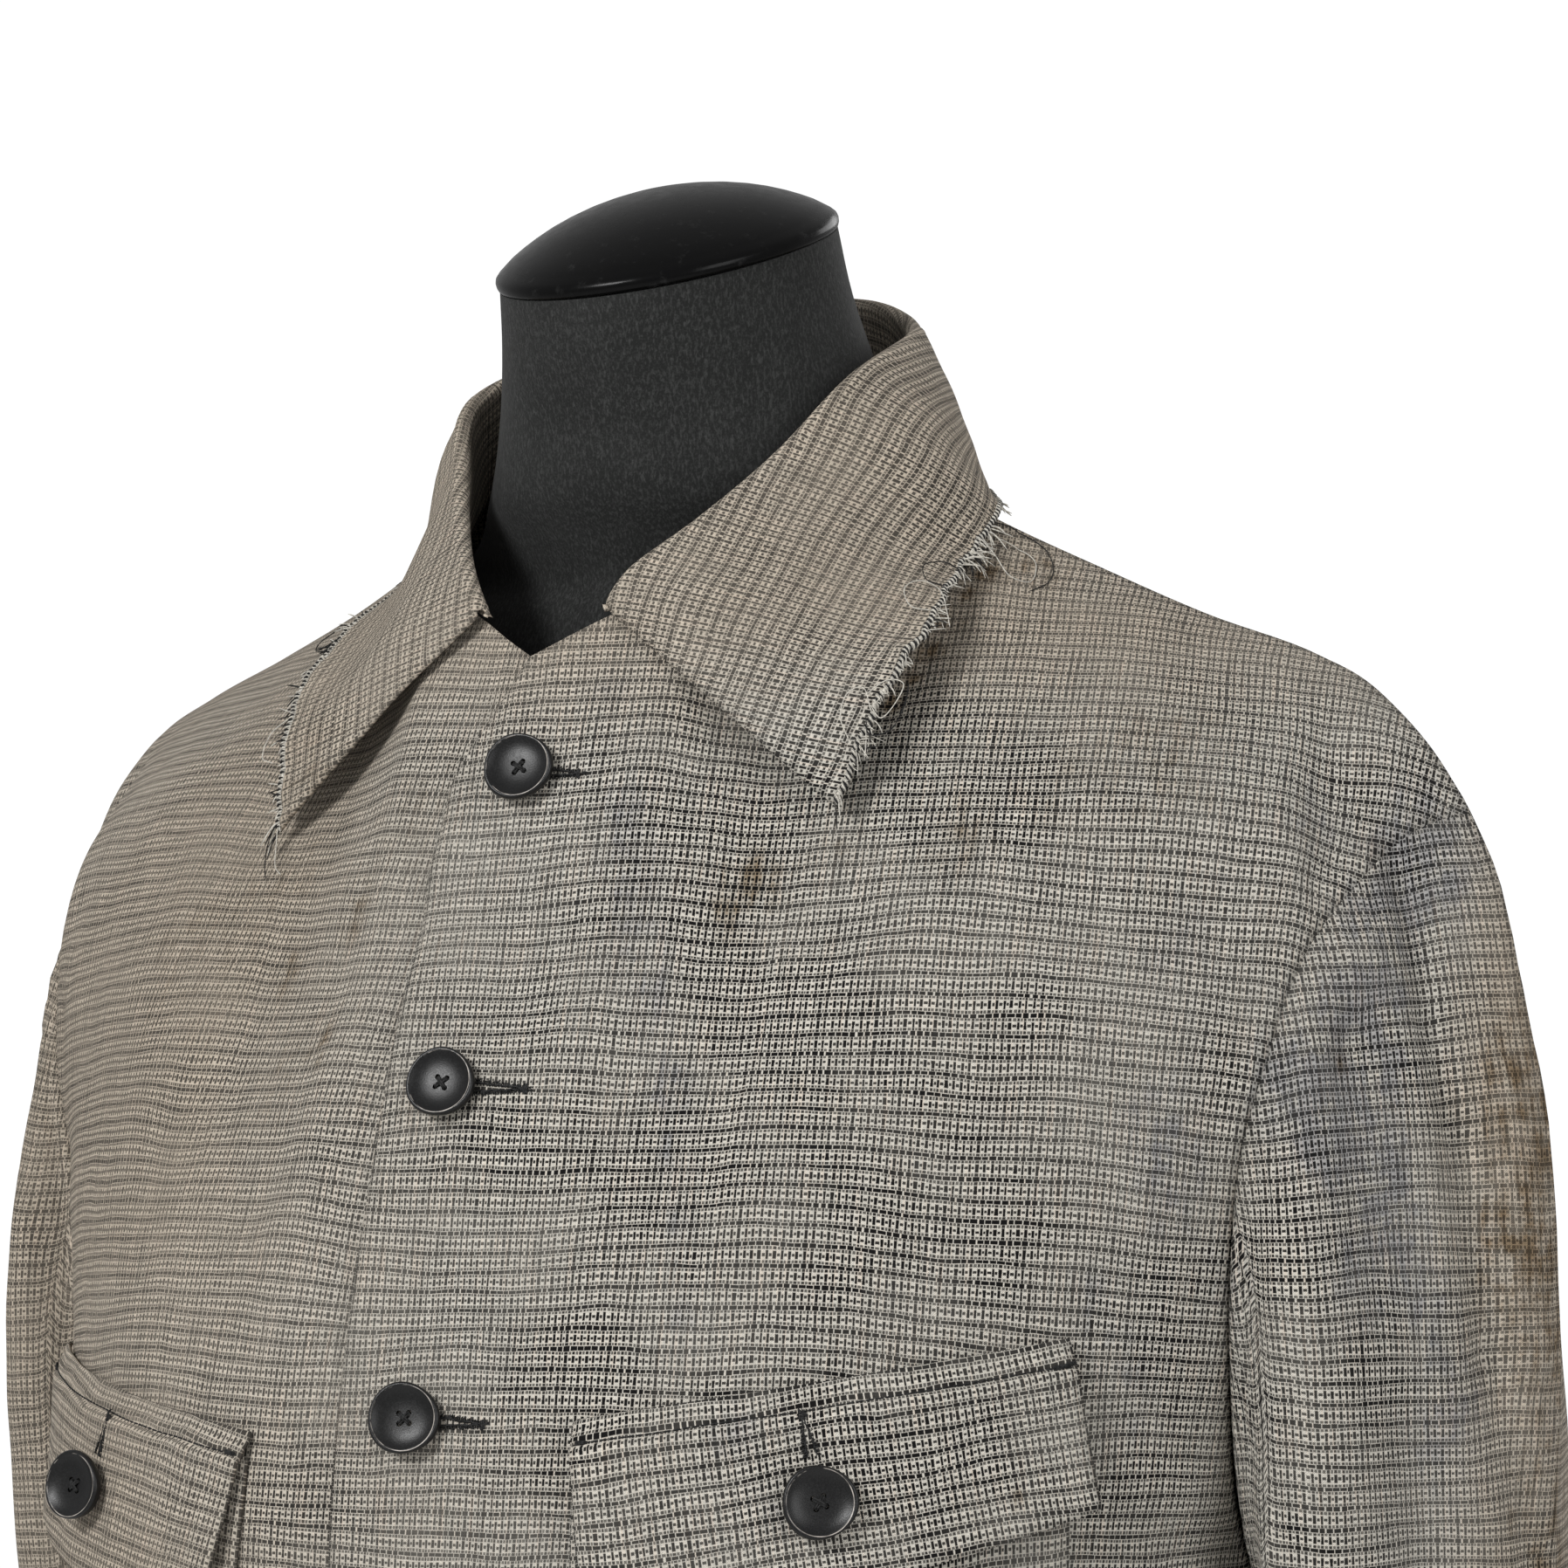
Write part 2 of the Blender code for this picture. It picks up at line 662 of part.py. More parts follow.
def flap_spot(a, b):
    """Where a flap's point lies: a runs from the inner to the outer end, b from top to bottom."""
    depth = FLAP_SIDE + (FLAP_POINT - FLAP_SIDE) * (1 - abs(2 * a - 1) ** FLAP_BOW)
    across = FLAP_INNER + FLAP_WIDTH * a * math.cos(FLAP_SLANT) + depth * b * math.sin(FLAP_SLANT)
    height = FLAP_TOP + FLAP_WIDTH * a * math.sin(FLAP_SLANT) - depth * b * math.cos(FLAP_SLANT)
    start, end = FLAP_STEP_ENDS
    over_pocket = smooth((b - start) / (end - start))
    stand_off = (FLAP_STAND_OFF + FLAP_CORNER_LIFT * (1 - a) ** 2) * b * b
    lift = LAY_GAP + CLOTH + over_pocket * (CLOTH + 2 * LAY_GAP) + stand_off
    return across, height, lift


def pocket_spot(a, b):
    """Where a pocket's point lies. Its top follows the flap and its foot is level."""
    slant = (1 - b) * math.sin(FLAP_SLANT)
    across = FLAP_INNER + POCKET_INSET + POCKET_WIDTH * a + POCKET_DRIFT * b
    height = FLAP_TOP - POCKET_TOP_DROP - POCKET_DEPTH * b + POCKET_WIDTH * a * slant
    start, end = POCKET_SWELL_ENDS
    swell = POCKET_SWELL * math.sin(math.pi * a) * math.sin(math.pi * b) ** 0.7
    return across, height, LAY_GAP + CLOTH + swell * smooth((b - start) / (end - start))


def form_ring(row):
    """A form section's points, leant forwards about its own middle."""
    lean = math.radians(row.lean)
    ring = []
    for i in range(FORM_SIDES):
        turn = 2 * math.pi * i / FORM_SIDES
        c, s = math.cos(turn), math.sin(turn)
        x = row.half_x * math.copysign(abs(c) ** (2 / row.square), c)
        depth = row.back if s > 0 else row.front
        y = depth * math.copysign(abs(s) ** (2 / row.square), s)
        ring.append(np.array([x, row.y + y * math.cos(lean), row.height + y * math.sin(lean)]))
    return ring


def cap_ring(row):
    """A neck cap section: the neck's top section, scaled and moved along the neck."""
    top = FORM[-1]
    lean = math.radians(top.lean)
    middle = np.array([0, top.y, top.height])
    way = np.array([0, -math.sin(lean), math.cos(lean)])
    return [middle + (p - middle) * row.scale + way * row.rise for p in form_ring(top)]


def add_turned(name, profile, finish, collection, sides):
    """A turned piece from a profile of radius and height in millimetres."""
    shape = bmesh.new()
    verts = [shape.verts.new((radius * MM, 0, height * MM)) for radius, height in profile]
    for first, second in zip(verts, verts[1:]):
        shape.edges.new((first, second))
    made = add_object(name, shape, finish, collection)
    turn = made.modifiers.new("turn", "SCREW")
    turn.steps = turn.render_steps = sides
    turn.use_merge_vertices = True
    turn.merge_threshold = SCREW_MERGE
    turn.use_smooth_shade = True
    return made


def add_button(name, place, normal, finish, collection):
    """A dished button with its back just off the cloth."""
    rim = BUTTON_RADIUS
    top = BUTTON_THICKNESS
    profile = [
        (0, top - 1.2), (rim * 0.62, top - 1.0), (rim * 0.82, top), (rim * 0.95, top - 0.4),
        (rim, top * 0.55), (rim * 0.9, top * 0.2), (rim * 0.55, 0), (0, 0),
    ]
    made = add_turned(name, profile, finish, collection, BUTTON_SIDES)
    normal = Vector(normal)
    made.location = to_world(place) + normal * BUTTON_SEAT * MM
    made.rotation_mode = "QUATERNION"
    made.rotation_quaternion = normal.to_track_quat("Z", "Y")
    return made


def front_button_spots(grid, normals):
    """The front buttons' places down the centre line, a pitch apart along the cloth."""
    line = grid[:, LAP_COLUMNS]
    steps = np.linalg.norm(np.diff(line, axis=0), axis=1)
    length = np.concatenate([[0], np.cumsum(steps)])
    first = np.interp(FIRST_BUTTON, line[:, 2], length)
    spots = []
    for k in range(FRONT_BUTTONS):
        at = first - BUTTON_PITCH * k
        place = np.array([np.interp(at, length, line[:, axis]) for axis in range(3)])
        normal = np.array([np.interp(at, length, normals[:, LAP_COLUMNS, axis]) for axis in range(3)])
        spots.append((place, normal / np.linalg.norm(normal)))
    return spots


def clear_scene():
    """Removes what a new file holds."""
    for old in list(bpy.data.objects):
        bpy.data.objects.remove(old, do_unlink=True)


def build_body(cloth, parts):
    """The fronts, the back and the sleeves. Returns the upper front's grid and normals."""
    front = panel_grid(half_shares(lap=True), LOW_ROWS, HIGH_ROWS, back=False)
    back = panel_grid(half_shares(lap=False), LOW_ROWS, HIGH_ROWS, back=True)
    edge = np.concatenate([front[LOW_ROWS:, -1][::-1], back[LOW_ROWS + 1:-1, -1]])
    sleeve = sleeve_grid(edge)
    front_out, back_out = grid_normals(front), -grid_normals(back)
    sleeve_out = grid_normals(sleeve, around=True)
    share_normals(front_out[:, -1], back_out[:, -1])
    shoulder = SHOULDER_COLUMNS + 1
    share_normals(front_out[-1, -shoulder:], back_out[-1, -shoulder:])
    top = np.concatenate([front_out[LOW_ROWS:, -1][::-1], back_out[LOW_ROWS + 1:-1, -1]])
    share_normals(top, sleeve_out[0])
    front_out[LOW_ROWS:, -1] = top[:HIGH_ROWS + 1][::-1]
    back_out[LOW_ROWS:, -1] = np.concatenate([top[HIGH_ROWS:], top[:1]])

    half_gap = SEAM_GAP / 2 + SEAM_SPARE
    front = shrink_edges(front, top=half_gap, end=half_gap)
    back = shrink_edges(back, top=half_gap, end=half_gap)
    sleeve = shrink_edges(sleeve, bottom=half_gap)
    cloth_wall("front_left", front, front_out, CLOTH, cloth, parts)
    sunk = lap_under(front, front_out)
    cloth_wall("front_right", mirrored(sunk), mirrored(front_out), CLOTH, cloth, parts)
    whole = np.concatenate([mirrored(back)[:, :-1], back], axis=1)
    whole_out = np.concatenate([mirrored(back_out)[:, :-1], back_out], axis=1)
    cloth_wall("back", whole, whole_out, CLOTH, cloth, parts)
    cloth_wall("sleeve_left", sleeve, sleeve_out, CLOTH, cloth, parts, around=True)
    cloth_wall("sleeve_right", mirrored(sleeve), mirrored(sleeve_out), CLOTH, cloth, parts, around=True)
    return front, front_out


def build_pockets(front, front_out, cloth, gloss, parts):
    """A patch pocket, a pointed flap and its button on each side of the chest."""
    pocket = laid_grid(front, front_out, *POCKET_CELLS, pocket_spot)
    flap = laid_grid(front, front_out, *FLAP_CELLS, flap_spot)
    for side, flip in (("left", False), ("right", True)):
        for name, grid in (("pocket_", pocket), ("flap_", flap)):
            laid = mirrored(grid) if flip else grid
            cloth_wall(name + side, laid, grid_normals(laid), CLOTH, cloth, parts)
    across, height, lift = flap_spot(FLAP_BUTTON_SHARE, FLAP_BUTTON_DROP / FLAP_POINT)
    place, normal = panel_spot(front, front_out, across, height)
    place = place + normal * (lift + FLAP_BUTTON_LIFT)
    for side, way in (("left", 1), ("right", -1)):
        turn = np.array([way, 1, 1])
        add_button("flap_button_" + side, place * turn, normal * turn, gloss, parts)


def build_form(form, gloss, metal, parts):
    """The dress form, its neck cap, and the pole and base that it stands on."""
    ring_solid("form_torso", [form_ring(row) for row in FORM], form, parts)
    ring_solid("neck_cap", [cap_ring(row) for row in CAP], gloss, parts)
    gap = SEAM_GAP
    floor = -NOTCH_HEIGHT / MM
    top = floor + BASE_THICKNESS
    bpy.ops.mesh.primitive_cylinder_add(
        vertices=POLE_SIDES, radius=POLE_RADIUS * MM, depth=(FORM_BOTTOM - top - 2 * gap) * MM,
        location=to_world((0, 0, (FORM_BOTTOM + top) / 2)))
    pole = bpy.context.object
    base = add_turned("stand_base", [
        (0, BASE_THICKNESS), (BASE_RADIUS * 0.3, BASE_THICKNESS),
        (BASE_RADIUS - BASE_EDGE, BASE_THICKNESS * 0.8), (BASE_RADIUS - 1, BASE_THICKNESS * 0.5),
        (BASE_RADIUS, 2), (BASE_RADIUS - 1, 0), (0, 0),
    ], metal, parts, BASE_SIDES)
    base.location = (0, 0, 0)
    pole.name = pole.data.name = "stand_pole"
    pole.data.materials.append(metal)
    for old in list(pole.users_collection):
        old.objects.unlink(pole)
    parts.objects.link(pole)


def build():
    """Makes the whole object."""
    clear_scene()
    parts = bpy.data.collections.new("hunting_jacket_on_dress_form")
    bpy.context.scene.collection.children.link(parts)
    cloth = material("woven_cloth", CLOTH_COLOUR, 0.9)
    form = material("form_jersey", FORM_COLOUR, 0.85)
    gloss = material("gloss_black", GLOSS_COLOUR, 0.25)
    metal = material("painted_metal", METAL_COLOUR, 0.4, 0.6)
    front, front_out = build_body(cloth, parts)
    collar = collar_grid()
    cloth_wall("collar", collar, grid_normals(collar), COLLAR_CLOTH, cloth, parts)
    build_pockets(front, front_out, cloth, gloss, parts)
    for k, (place, normal) in enumerate(front_button_spots(front, front_out), start=1):
        add_button(f"button_{k}", place, normal, gloss, parts)
    build_form(form, gloss, metal, parts)


build()
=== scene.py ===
"""The hunting jacket on its dress form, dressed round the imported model.

The world is in metres with +Z up. The jacket's front faces -Y and +X is the wearer's left.
Tables are in millimetres, and their heights are measured from the neck notch at the front.
"""
import logging
import math
from dataclasses import dataclass, field
from enum import Enum
from functools import reduce
from typing import Any, Callable, Sequence

import bmesh
import bpy
import numpy as np
from mathutils import Matrix, Vector


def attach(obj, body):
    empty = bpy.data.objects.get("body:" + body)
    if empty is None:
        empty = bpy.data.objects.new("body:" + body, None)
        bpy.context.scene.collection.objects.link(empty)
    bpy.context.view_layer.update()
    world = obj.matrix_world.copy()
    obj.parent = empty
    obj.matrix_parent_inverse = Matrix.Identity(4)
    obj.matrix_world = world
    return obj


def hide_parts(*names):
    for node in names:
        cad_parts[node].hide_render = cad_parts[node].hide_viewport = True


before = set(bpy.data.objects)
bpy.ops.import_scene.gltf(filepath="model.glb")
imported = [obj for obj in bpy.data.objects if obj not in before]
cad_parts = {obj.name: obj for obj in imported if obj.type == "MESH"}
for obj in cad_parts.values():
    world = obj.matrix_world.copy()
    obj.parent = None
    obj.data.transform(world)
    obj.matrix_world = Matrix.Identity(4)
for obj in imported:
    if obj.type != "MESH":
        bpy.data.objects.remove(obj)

Array = np.ndarray
Colour = tuple[float, float, float]
Material, Socket, BMesh = bpy.types.Material, bpy.types.NodeSocket, bmesh.types.BMesh
log = logging.getLogger("hunting_jacket")

MM = 0.001
NOTCH_HEIGHT = 1.420
MERGE = 0.02 * MM
# heights of the hem, the underarm and the cuffs
HEM, UNDERARM, CUFF = -642.0, -275.0, -640.0
# lengths along the cloth that a share across the body, a row up it and a share down a sleeve stand for
HALF_GIRTH, PANEL_RISE, SLEEVE_LENGTH = 300.0, 650.0, 560.0
# the underarm's row, and the shares of the lapping edge and of the shoulder seam's inner end
UNDERARM_ROW, LAP_SHARE, NECK_SHARE = 0.55, -0.068, 0.27
# the coarse net on which cloth is laid flat, and how many rounds that takes
CUT_ROWS, CUT_COLUMNS, CUT_ROUNDS = 24, 18, 80
# the middle of the uppermost front button below the notch, and the step to the next one
FIRST_BUTTON, BUTTON_PITCH = -33.0, 91.0
MIRROR, UP = np.array([-1.0, 1.0, 1.0]), np.array([0.0, 0.0, 1.0])

# height, half width, side y, front, back, squareness
BODY_LEVELS = np.array([
    [HEM, 188, 14, 152, 122, 2.45], [-560, 187, 14, 152, 119, 2.45], [-440, 185, 14, 152, 116, 2.45],
    [-340, 184, 14, 155, 120, 2.45], [UNDERARM, 185, 14, 157, 124, 2.45]])
# share, place, and the way the cloth meets the edge
FRONT_NECK = np.array([
    [0, 0, -91, 0, 0, 0.3, 0.95], [0.07, 21, -83, 11, 0, 0.36, 0.93],
    [0.17, 49, -62, 26, 0, 0.5, 0.86], [NECK_SHARE, 76, -6, 53, 0, 0.68, 0.73]])
SHOULDER_LINE = np.array([
    [NECK_SHARE, 76, -6, 53, 0, 0.68, 0.73], [0.36, 99, 1, 40, 0, 0.8, 0.6],
    [0.48, 128, 7, 26, 0, 0.89, 0.46], [0.62, 160, 9, 12, 0, 0.92, 0.39],
    [0.76, 192, 12, 0, 0.02, 0.9, 0.43], [0.88, 214, 11, -13, 0.08, 0.84, 0.53],
    [0.95, 229, 11, -29, 0.16, 0.74, 0.65], [1, 239, 12, -45, 0.22, 0.62, 0.75]])
BACK_NECK = np.array([
    [0, 0, 63, 78, 0, -0.42, 0.9], [0.1, 29, 57, 76, 0, -0.44, 0.89],
    [0.19, 54, 39, 70, 0, -0.52, 0.85], [0.24, 70, 13, 61, 0, -0.62, 0.78],
    [NECK_SHARE, 76, -6, 53, 0, -0.68, 0.73]])
FRONT_ARMHOLE = np.array([
    [185, 14, -272], [186, -20, -243], [193, -43, -195], [198, -48, -145], [206, -46, -113],
    [213, -35, -83], [222, -14, -60], [230, 0, -49], [239, 12, -45]], float)
BACK_ARMHOLE = np.array([
    [185, 14, -272], [186, 54, -248], [191, 80, -200], [198, 84, -150], [206, 74, -108],
    [215, 55, -78], [224, 38, -60], [232, 24, -50], [239, 12, -45]], float)
# height, x, y, outer half width, inner half width, half depth, from the cuff up
SLEEVE_RINGS = np.array([
    [CUFF, 200, -3, 46, 6, 58], [-570, 200, 7, 49, 6, 62], [-500, 199, 16, 51, 6, 65],
    [-430, 199, 24, 52, 6, 68], [-335, 199, 30, 51, 6, 70]], float)
# share, roll line, left outer edge, right outer edge
COLLAR_STATIONS = np.array([
    [0.07, 21, -84.5, 15, 97, -85, -44, 92, -86, -47],
    [0.115, 26.5, -81, 24, 102, -73, -20, 93, -75, -22],
    [0.17, 40, -66, 39, 102.5, -51, 1, 90, -53, 1],
    [0.22, 54, -48, 58, 100, -27, 22, 87, -28, 25],
    [0.27, 66, -24, 83, 97.5, 2, 44, 88, -3, 47],
    [0.3, 65, 4, 95, 82, 22, 50, 79, 20, 51],
    [0.35, 51, 30, 102.5, 60, 50, 51, 61, 50, 51],
    [0.44, 28, 50, 112.5, 36, 76, 52, 36, 76, 52],
    [0.54, 0, 56, 117, 0, 86, 52, 0, 86, 52]])
# height, half width, y, front, back, squareness, lean
FORM_RINGS = np.array([
    [-705, 142, -4, 100, 92, 2.2, 0], [-697, 155, -4, 108, 99, 2.2, 0], [-610, 160, -4, 116, 106, 2.2, 0],
    [-430, 140, -6, 100, 90, 2.2, 0], [-300, 152, -4, 118, 102, 2.3, 0], [-200, 162, 0, 122, 104, 2.3, 0],
    [-130, 176, 8, 110, 90, 2.1, 0], [-80, 190, 12, 96, 74, 1.8, 0], [-45, 202, 12, 84, 58, 1.55, 0],
    [-24, 207, 12, 76, 48, 1.35, 0], [-12, 200, 12, 70, 43, 1.25, 0], [-3, 187, 11, 66, 39, 1.2, 0],
    [6, 165, 10, 63, 36, 1.2, 0], [18, 132, 7, 58, 31, 1.25, 1], [27, 102, 4, 52, 29, 1.35, 2],
    [38, 81, 1, 52, 31, 1.6, 3], [54, 66, -2, 56, 40, 2, 7], [80, 58, -7, 55, 44, 2, 12],
    [104, 51.5, -15, 54, 46.5, 2, 17], [120, 49.3, -20, 52.5, 49, 2, 20]])

# share, row, to share, to row, width, depth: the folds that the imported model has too
FRONT_FOLDS = np.array([
    [0.3, 0, 0.36, 0.5, 22, 5], [0.62, 0, 0.6, 0.45, 24, -5], [0.86, 0, 0.84, 0.42, 20, 3.5],
    [0.88, 0.62, 0.94, 0.84, 12, -3], [0.93, 0.86, 0.86, 0.95, 12, -3.5], [0.2, 0.55, 0.48, 0.8, 26, 2.2],
    [0.08, 0.86, 0.4, 0.72, 16, -1.6]])
BACK_FOLDS = np.array([
    [0.22, 0, 0.18, 0.48, 24, 6], [0.55, 0, 0.57, 0.5, 26, -5.5], [0.82, 0, 0.84, 0.52, 22, 5],
    [0.8, 0.58, 0.9, 0.82, 14, 3.5], [0.66, 0.6, 0.82, 0.9, 14, -3]])
SLEEVE_FOLDS = np.array([
    [-38, 0.06, -34, 0.7, 11, -5], [-70, 0.1, -62, 0.55, 12, 2.5], [-5, 0.14, -12, 0.8, 12, 2],
    [60, 0.1, 52, 0.75, 14, -4.5], [100, 0.25, 84, 0.85, 14, 3], [-88, 0.55, -52, 0.64, 12, -4],
    [-85, 0.66, -40, 0.74, 11, 3]])
# start, end, width, depth: finer creases set on the wearer's left, and their kin on the right
CREASES = np.array([
    [203, -46, -105, 197, -48, -215, 9, -1.8], [222, -12, -60, 214, -26, -66, 8, -2.2],
    [214, -14, -34, 225, -8, -56, 8, -1.4], [105, -102, -97, 88, -120, -165, 15, 0.9],
    [42, -104, -52, 54, -126, -170, 13, -0.9], [20, -112, -66, 78, -104, -60, 9, 0.6],
    [18, -118, -128, 70, -116, -134, 9, 0.5], [150, -84, -88, 176, -66, -150, 13, 0.9],
    [232, -22, -84, 240, -22, -150, 10, 1], [214, -34, -96, 224, -44, -128, 8, 0.8],
    [246, 4, -90, 250, -4, -220, 11, -1], [60, -140, -300, 64, -142, -420, 16, -1.4],
    [120, -128, -330, 126, -130, -470, 15, 1.3], [30, -148, -420, 40, -148, -600, 18, 1.2],
    [236, -14, -360, 212, -46, -392, 9, -1.6], [244, 30, -400, 226, 78, -432, 10, -1.6],
    [238, 2, -470, 214, -36, -500, 9, -1.4], [60, 118, -120, 90, 112, -200, 16, -1.2],
    [150, 96, -150, 180, 88, -220, 13, 1.2], [30, 122, -330, 44, 120, -480, 18, -1.3],
    [228, -7, -58, 236, -9, -100, 5, -4.4], [237, -8, -106, 244, -6, -130, 5, -4.6],
    [245, -6, -136, 250, 1, -190, 6, -4.6], [251, 3, -198, 253, 19, -250, 7, -3.6],
    [218, -24, -84, 232, -22, -190, 8, 2], [244, 10, -64, 257, 14, -190, 8, 2.2],
    [226, -9, -50, 217, -20, -58, 4, -2.6], [95, -58, -19, 102, -26, 15, 5, -1.2],
    [44, -106, -61, 56, -128, -140, 6, -1.1], [59, -132, -150, 74, -142, -215, 6, -0.9],
    [146, -88, -60, 178, -72, -86, 9, -0.8], [84, -92, -74, 132, -84, -84, 8, -0.5]], float)
FAR_CREASES = np.array([
    [-203, -50, -78, -201, -52, -160, 9, -4.2], [-200, -54, -176, -199, -54, -260, 9, -3.6],
    [-150, -96, -128, -146, -110, -190, 10, -1.2], [-96, -100, -84, -110, -116, -160, 9, -0.8],
    [-60, -104, -70, -84, -124, -150, 10, 0.8], [-130, -84, -60, -168, -70, -78, 8, -0.7]], float)
CREASE_KIN = CREASES * np.array([-1, 1, 1, -1, 1, 1, 1, 0.8]) + np.array([4, 0, 9, -3, 0, -6, 0, 0])
# place, spread and strength of each soft mark on the cloth. The blue spots and most brown ones are stains;
# the first seven brown spots are painted shade: a painted shadow line in the gap under the collar's left
# outer edge, and a painted dark dimple at the sleeve head's seam corner
BROWN_STAINS_AND_SHADE_SPOTS = np.array([
    [96, -55, -14, 4, 1.3], [98, -48, -6, 4, 1.3], [100, -40, 1, 4, 1.3], [101, -32, 9, 4, 1.3],
    [102, -24, 16, 4, 1.2], [102, -15, 24, 4, 1.1], [222, -12, -57, 6, 0.6], [259, 14, -120, 27, 0.5],
    [259, 22, -180, 30, 0.5], [259, 26, -250, 30, 0.5], [-80, -98, -36, 24, 0.4], [-30, -104, -40, 18, 0.3],
    [178, -40, -22, 24, 0.4], [71, -95, -68, 15, 0.5], [78, -90, -60, 9, 0.4], [127, -73, -52, 13, 0.4],
    [96, -84, -56, 10, 0.3], [-47, -109, -70, 8, 0.5], [-74, -102, -86, 7, 0.5], [-48, -123, -107, 5, 0.7],
    [-60, -112, -120, 22, 0.3], [251, 4, -162, 9, 0.6], [161, -101, -226, 3, 1], [220, -32, -111, 5, 0.6],
    [112, -6, 26, 16, 0.4], [150, -60, -30, 26, 0.25], [-120, -100, -70, 40, 0.25],
    [245, 30, -120, 30, 0.3], [-200, -30, -120, 35, 0.3], [40, 120, -90, 28, 0.3],
    [-90, 112, -160, 22, 0.35], [60, -146, -360, 24, 0.3], [-120, -130, -440, 26, 0.3],
    [240, 0, -420, 16, 0.4], [-243, 10, -330, 18, 0.4], [150, 90, -420, 26, 0.3]], float)
BLUE_SPOTS = np.array([
    [27, -90, -12, 9, 0.35], [57, -114, -97, 9, 0.5], [66, -121, -118, 9, 0.6], [70, -125, -138, 9, 0.5],
    [76, -131, -158, 9, 0.4], [82, -137, -182, 9, 0.4], [215, -43, -118, 10, 0.5],
    [223, -34, -132, 10, 0.6], [229, -26, -146, 10, 0.7], [234, -20, -162, 10, 0.6],
    [240, -13, -180, 10, 0.6], [245, -6, -200, 10, 0.5], [226, -8, -57, 13, 0.6], [185, -64, -131, 13, 0.5],
    [172, -79, -177, 12, 0.4], [224, -24, -104, 20, 0.8], [217, -42, -122, 18, 0.8], [234, 3, -52, 17, 0.6],
    [186, -62, -143, 14, 0.5], [44, -106, -61, 11, 0.6], [38, -100, -42, 9, 0.5], [50, -112, -80, 10, 0.6],
    [226, -29, -134, 17, 0.7], [228, -34, -168, 15, 0.6], [240, -12, -213, 16, 0.5],
    [224, -15, -76, 14, 0.7], [207, -23, -45, 11, 0.5], [100, -141, -208, 9, 0.5], [186, -58, -85, 13, 0.4],
    [178, -68, -200, 14, 0.4], [112, -142, -226, 8, 0.35], [196, -48, -170, 12, 0.4],
    [232, -6, -60, 12, 0.6], [190, -40, -68, 14, 0.3], [-180, -60, -180, 26, 0.3], [70, 118, -60, 30, 0.4],
    [-150, 96, -240, 30, 0.4], [-60, -148, -480, 24, 0.35], [120, -132, -560, 26, 0.35],
    [-236, 30, -190, 24, 0.4], [244, 44, -300, 22, 0.4], [-226, -30, -470, 20, 0.4]], float)
# distance from the collar's point, spread, how many threads, their length
LEFT_TUFTS = (
    (2, 2, 5, 4), (21, 5, 22, 8), (34, 4, 6, 4), (47, 4, 9, 4.5), (66, 6, 16, 5.5), (84, 4, 5, 3.5),
    (101, 6, 28, 7.5), (113, 6, 18, 6.5), (132, 5, 8, 5), (160, 8, 12, 5), (200, 10, 10, 5))
RIGHT_TUFTS = (
    (1, 2, 9, 6), (10, 5, 10, 4), (34, 6, 14, 4.5), (50, 6, 14, 4.5), (66, 5, 16, 5), (80, 5, 16, 5),
    (100, 6, 22, 5.5), (118, 6, 24, 6), (130, 5, 12, 5), (170, 8, 12, 5))
# points of each long loose thread: along the edge, away from the collar, out from the body
LEFT_LOOPS = (
    ((112, -1, 0.6), (108, 5, 2), (104, 12, 1.5), (108, 18, 1), (116, 17, 0.8), (119, 10, 1.2),
     (116, 3, 1.5)),
    ((122, 0, 0.4), (126, 6, 1), (125, 14, 1.2), (119, 22, 1), (110, 24, 0.8), (103, 19, 1)),
    ((68, -1, 1), (66, -7, 2.4), (72, -11, 2.6), (78, -8, 2.4), (77, -2, 2), (70, 3, 1), (64, 6, 0.6)),
    ((82, -1, 1), (80, -6, 2.2), (86, -9, 2.4), (92, -5, 2.2), (93, 0, 1.4)),
    ((30, -2, 0.8), (27, 3, 2.2), (33, 6, 2), (39, 4, 1.6), (38, -1, 1.6), (31, -4, 1.4)),
    ((26, -2, 0.8), (22, 2, 2), (26, 7, 1.6), (34, 8, 1.2), (40, 5, 1)),
    ((18, -3, 1), (22, -8, 2), (29, -9, 2.2), (33, -5, 1.8), (28, -1, 1.2)),
    ((1, -1, 0.4), (-2, 1, 0.5), (-5, 2, 0.2)))
RIGHT_LOOPS = (
    ((2, -1, 0.5), (-3, 1, 0.8), (-8, 3, 0.8), (-12, 1, 1)),
    ((4, -1, 0.5), (0, 4, 1), (-5, 7, 1.4), (-9, 8, 1)),
    ((36, -1, 0.6), (33, 5, 1.6), (27, 7, 1.4), (23, 3, 1)),
    ((70, -2, 0.8), (66, 4, 1.6), (72, 8, 1.4), (78, 4, 1)),
    ((104, -1, 0.8), (100, 5, 1.4), (107, 9, 1.4), (112, 4, 1)),
    ((120, -1, 0.6), (124, 5, 1.2), (120, 9, 1.4)))
# turn of each front button's holes, its swing towards the wearer's left, its shift along the cloth
FRONT_BUTTONS = ((12, 16, 5.5), (-8, 14, 1.2), (4, 18, 4), (20, 8, 0.5), (-14, 5, 0), (7, 10, 0.5))


class Side(Enum):
    """The wearer's two sides, by the sign that their X takes."""

    LEFT = 1
    RIGHT = -1


class Edge(Enum):
    """A grid's edges: the axis that runs away from each, and whether it lies last on that axis."""

    FOOT = (0, False)
    TOP = (0, True)
    START = (1, False)
    END = (1, True)


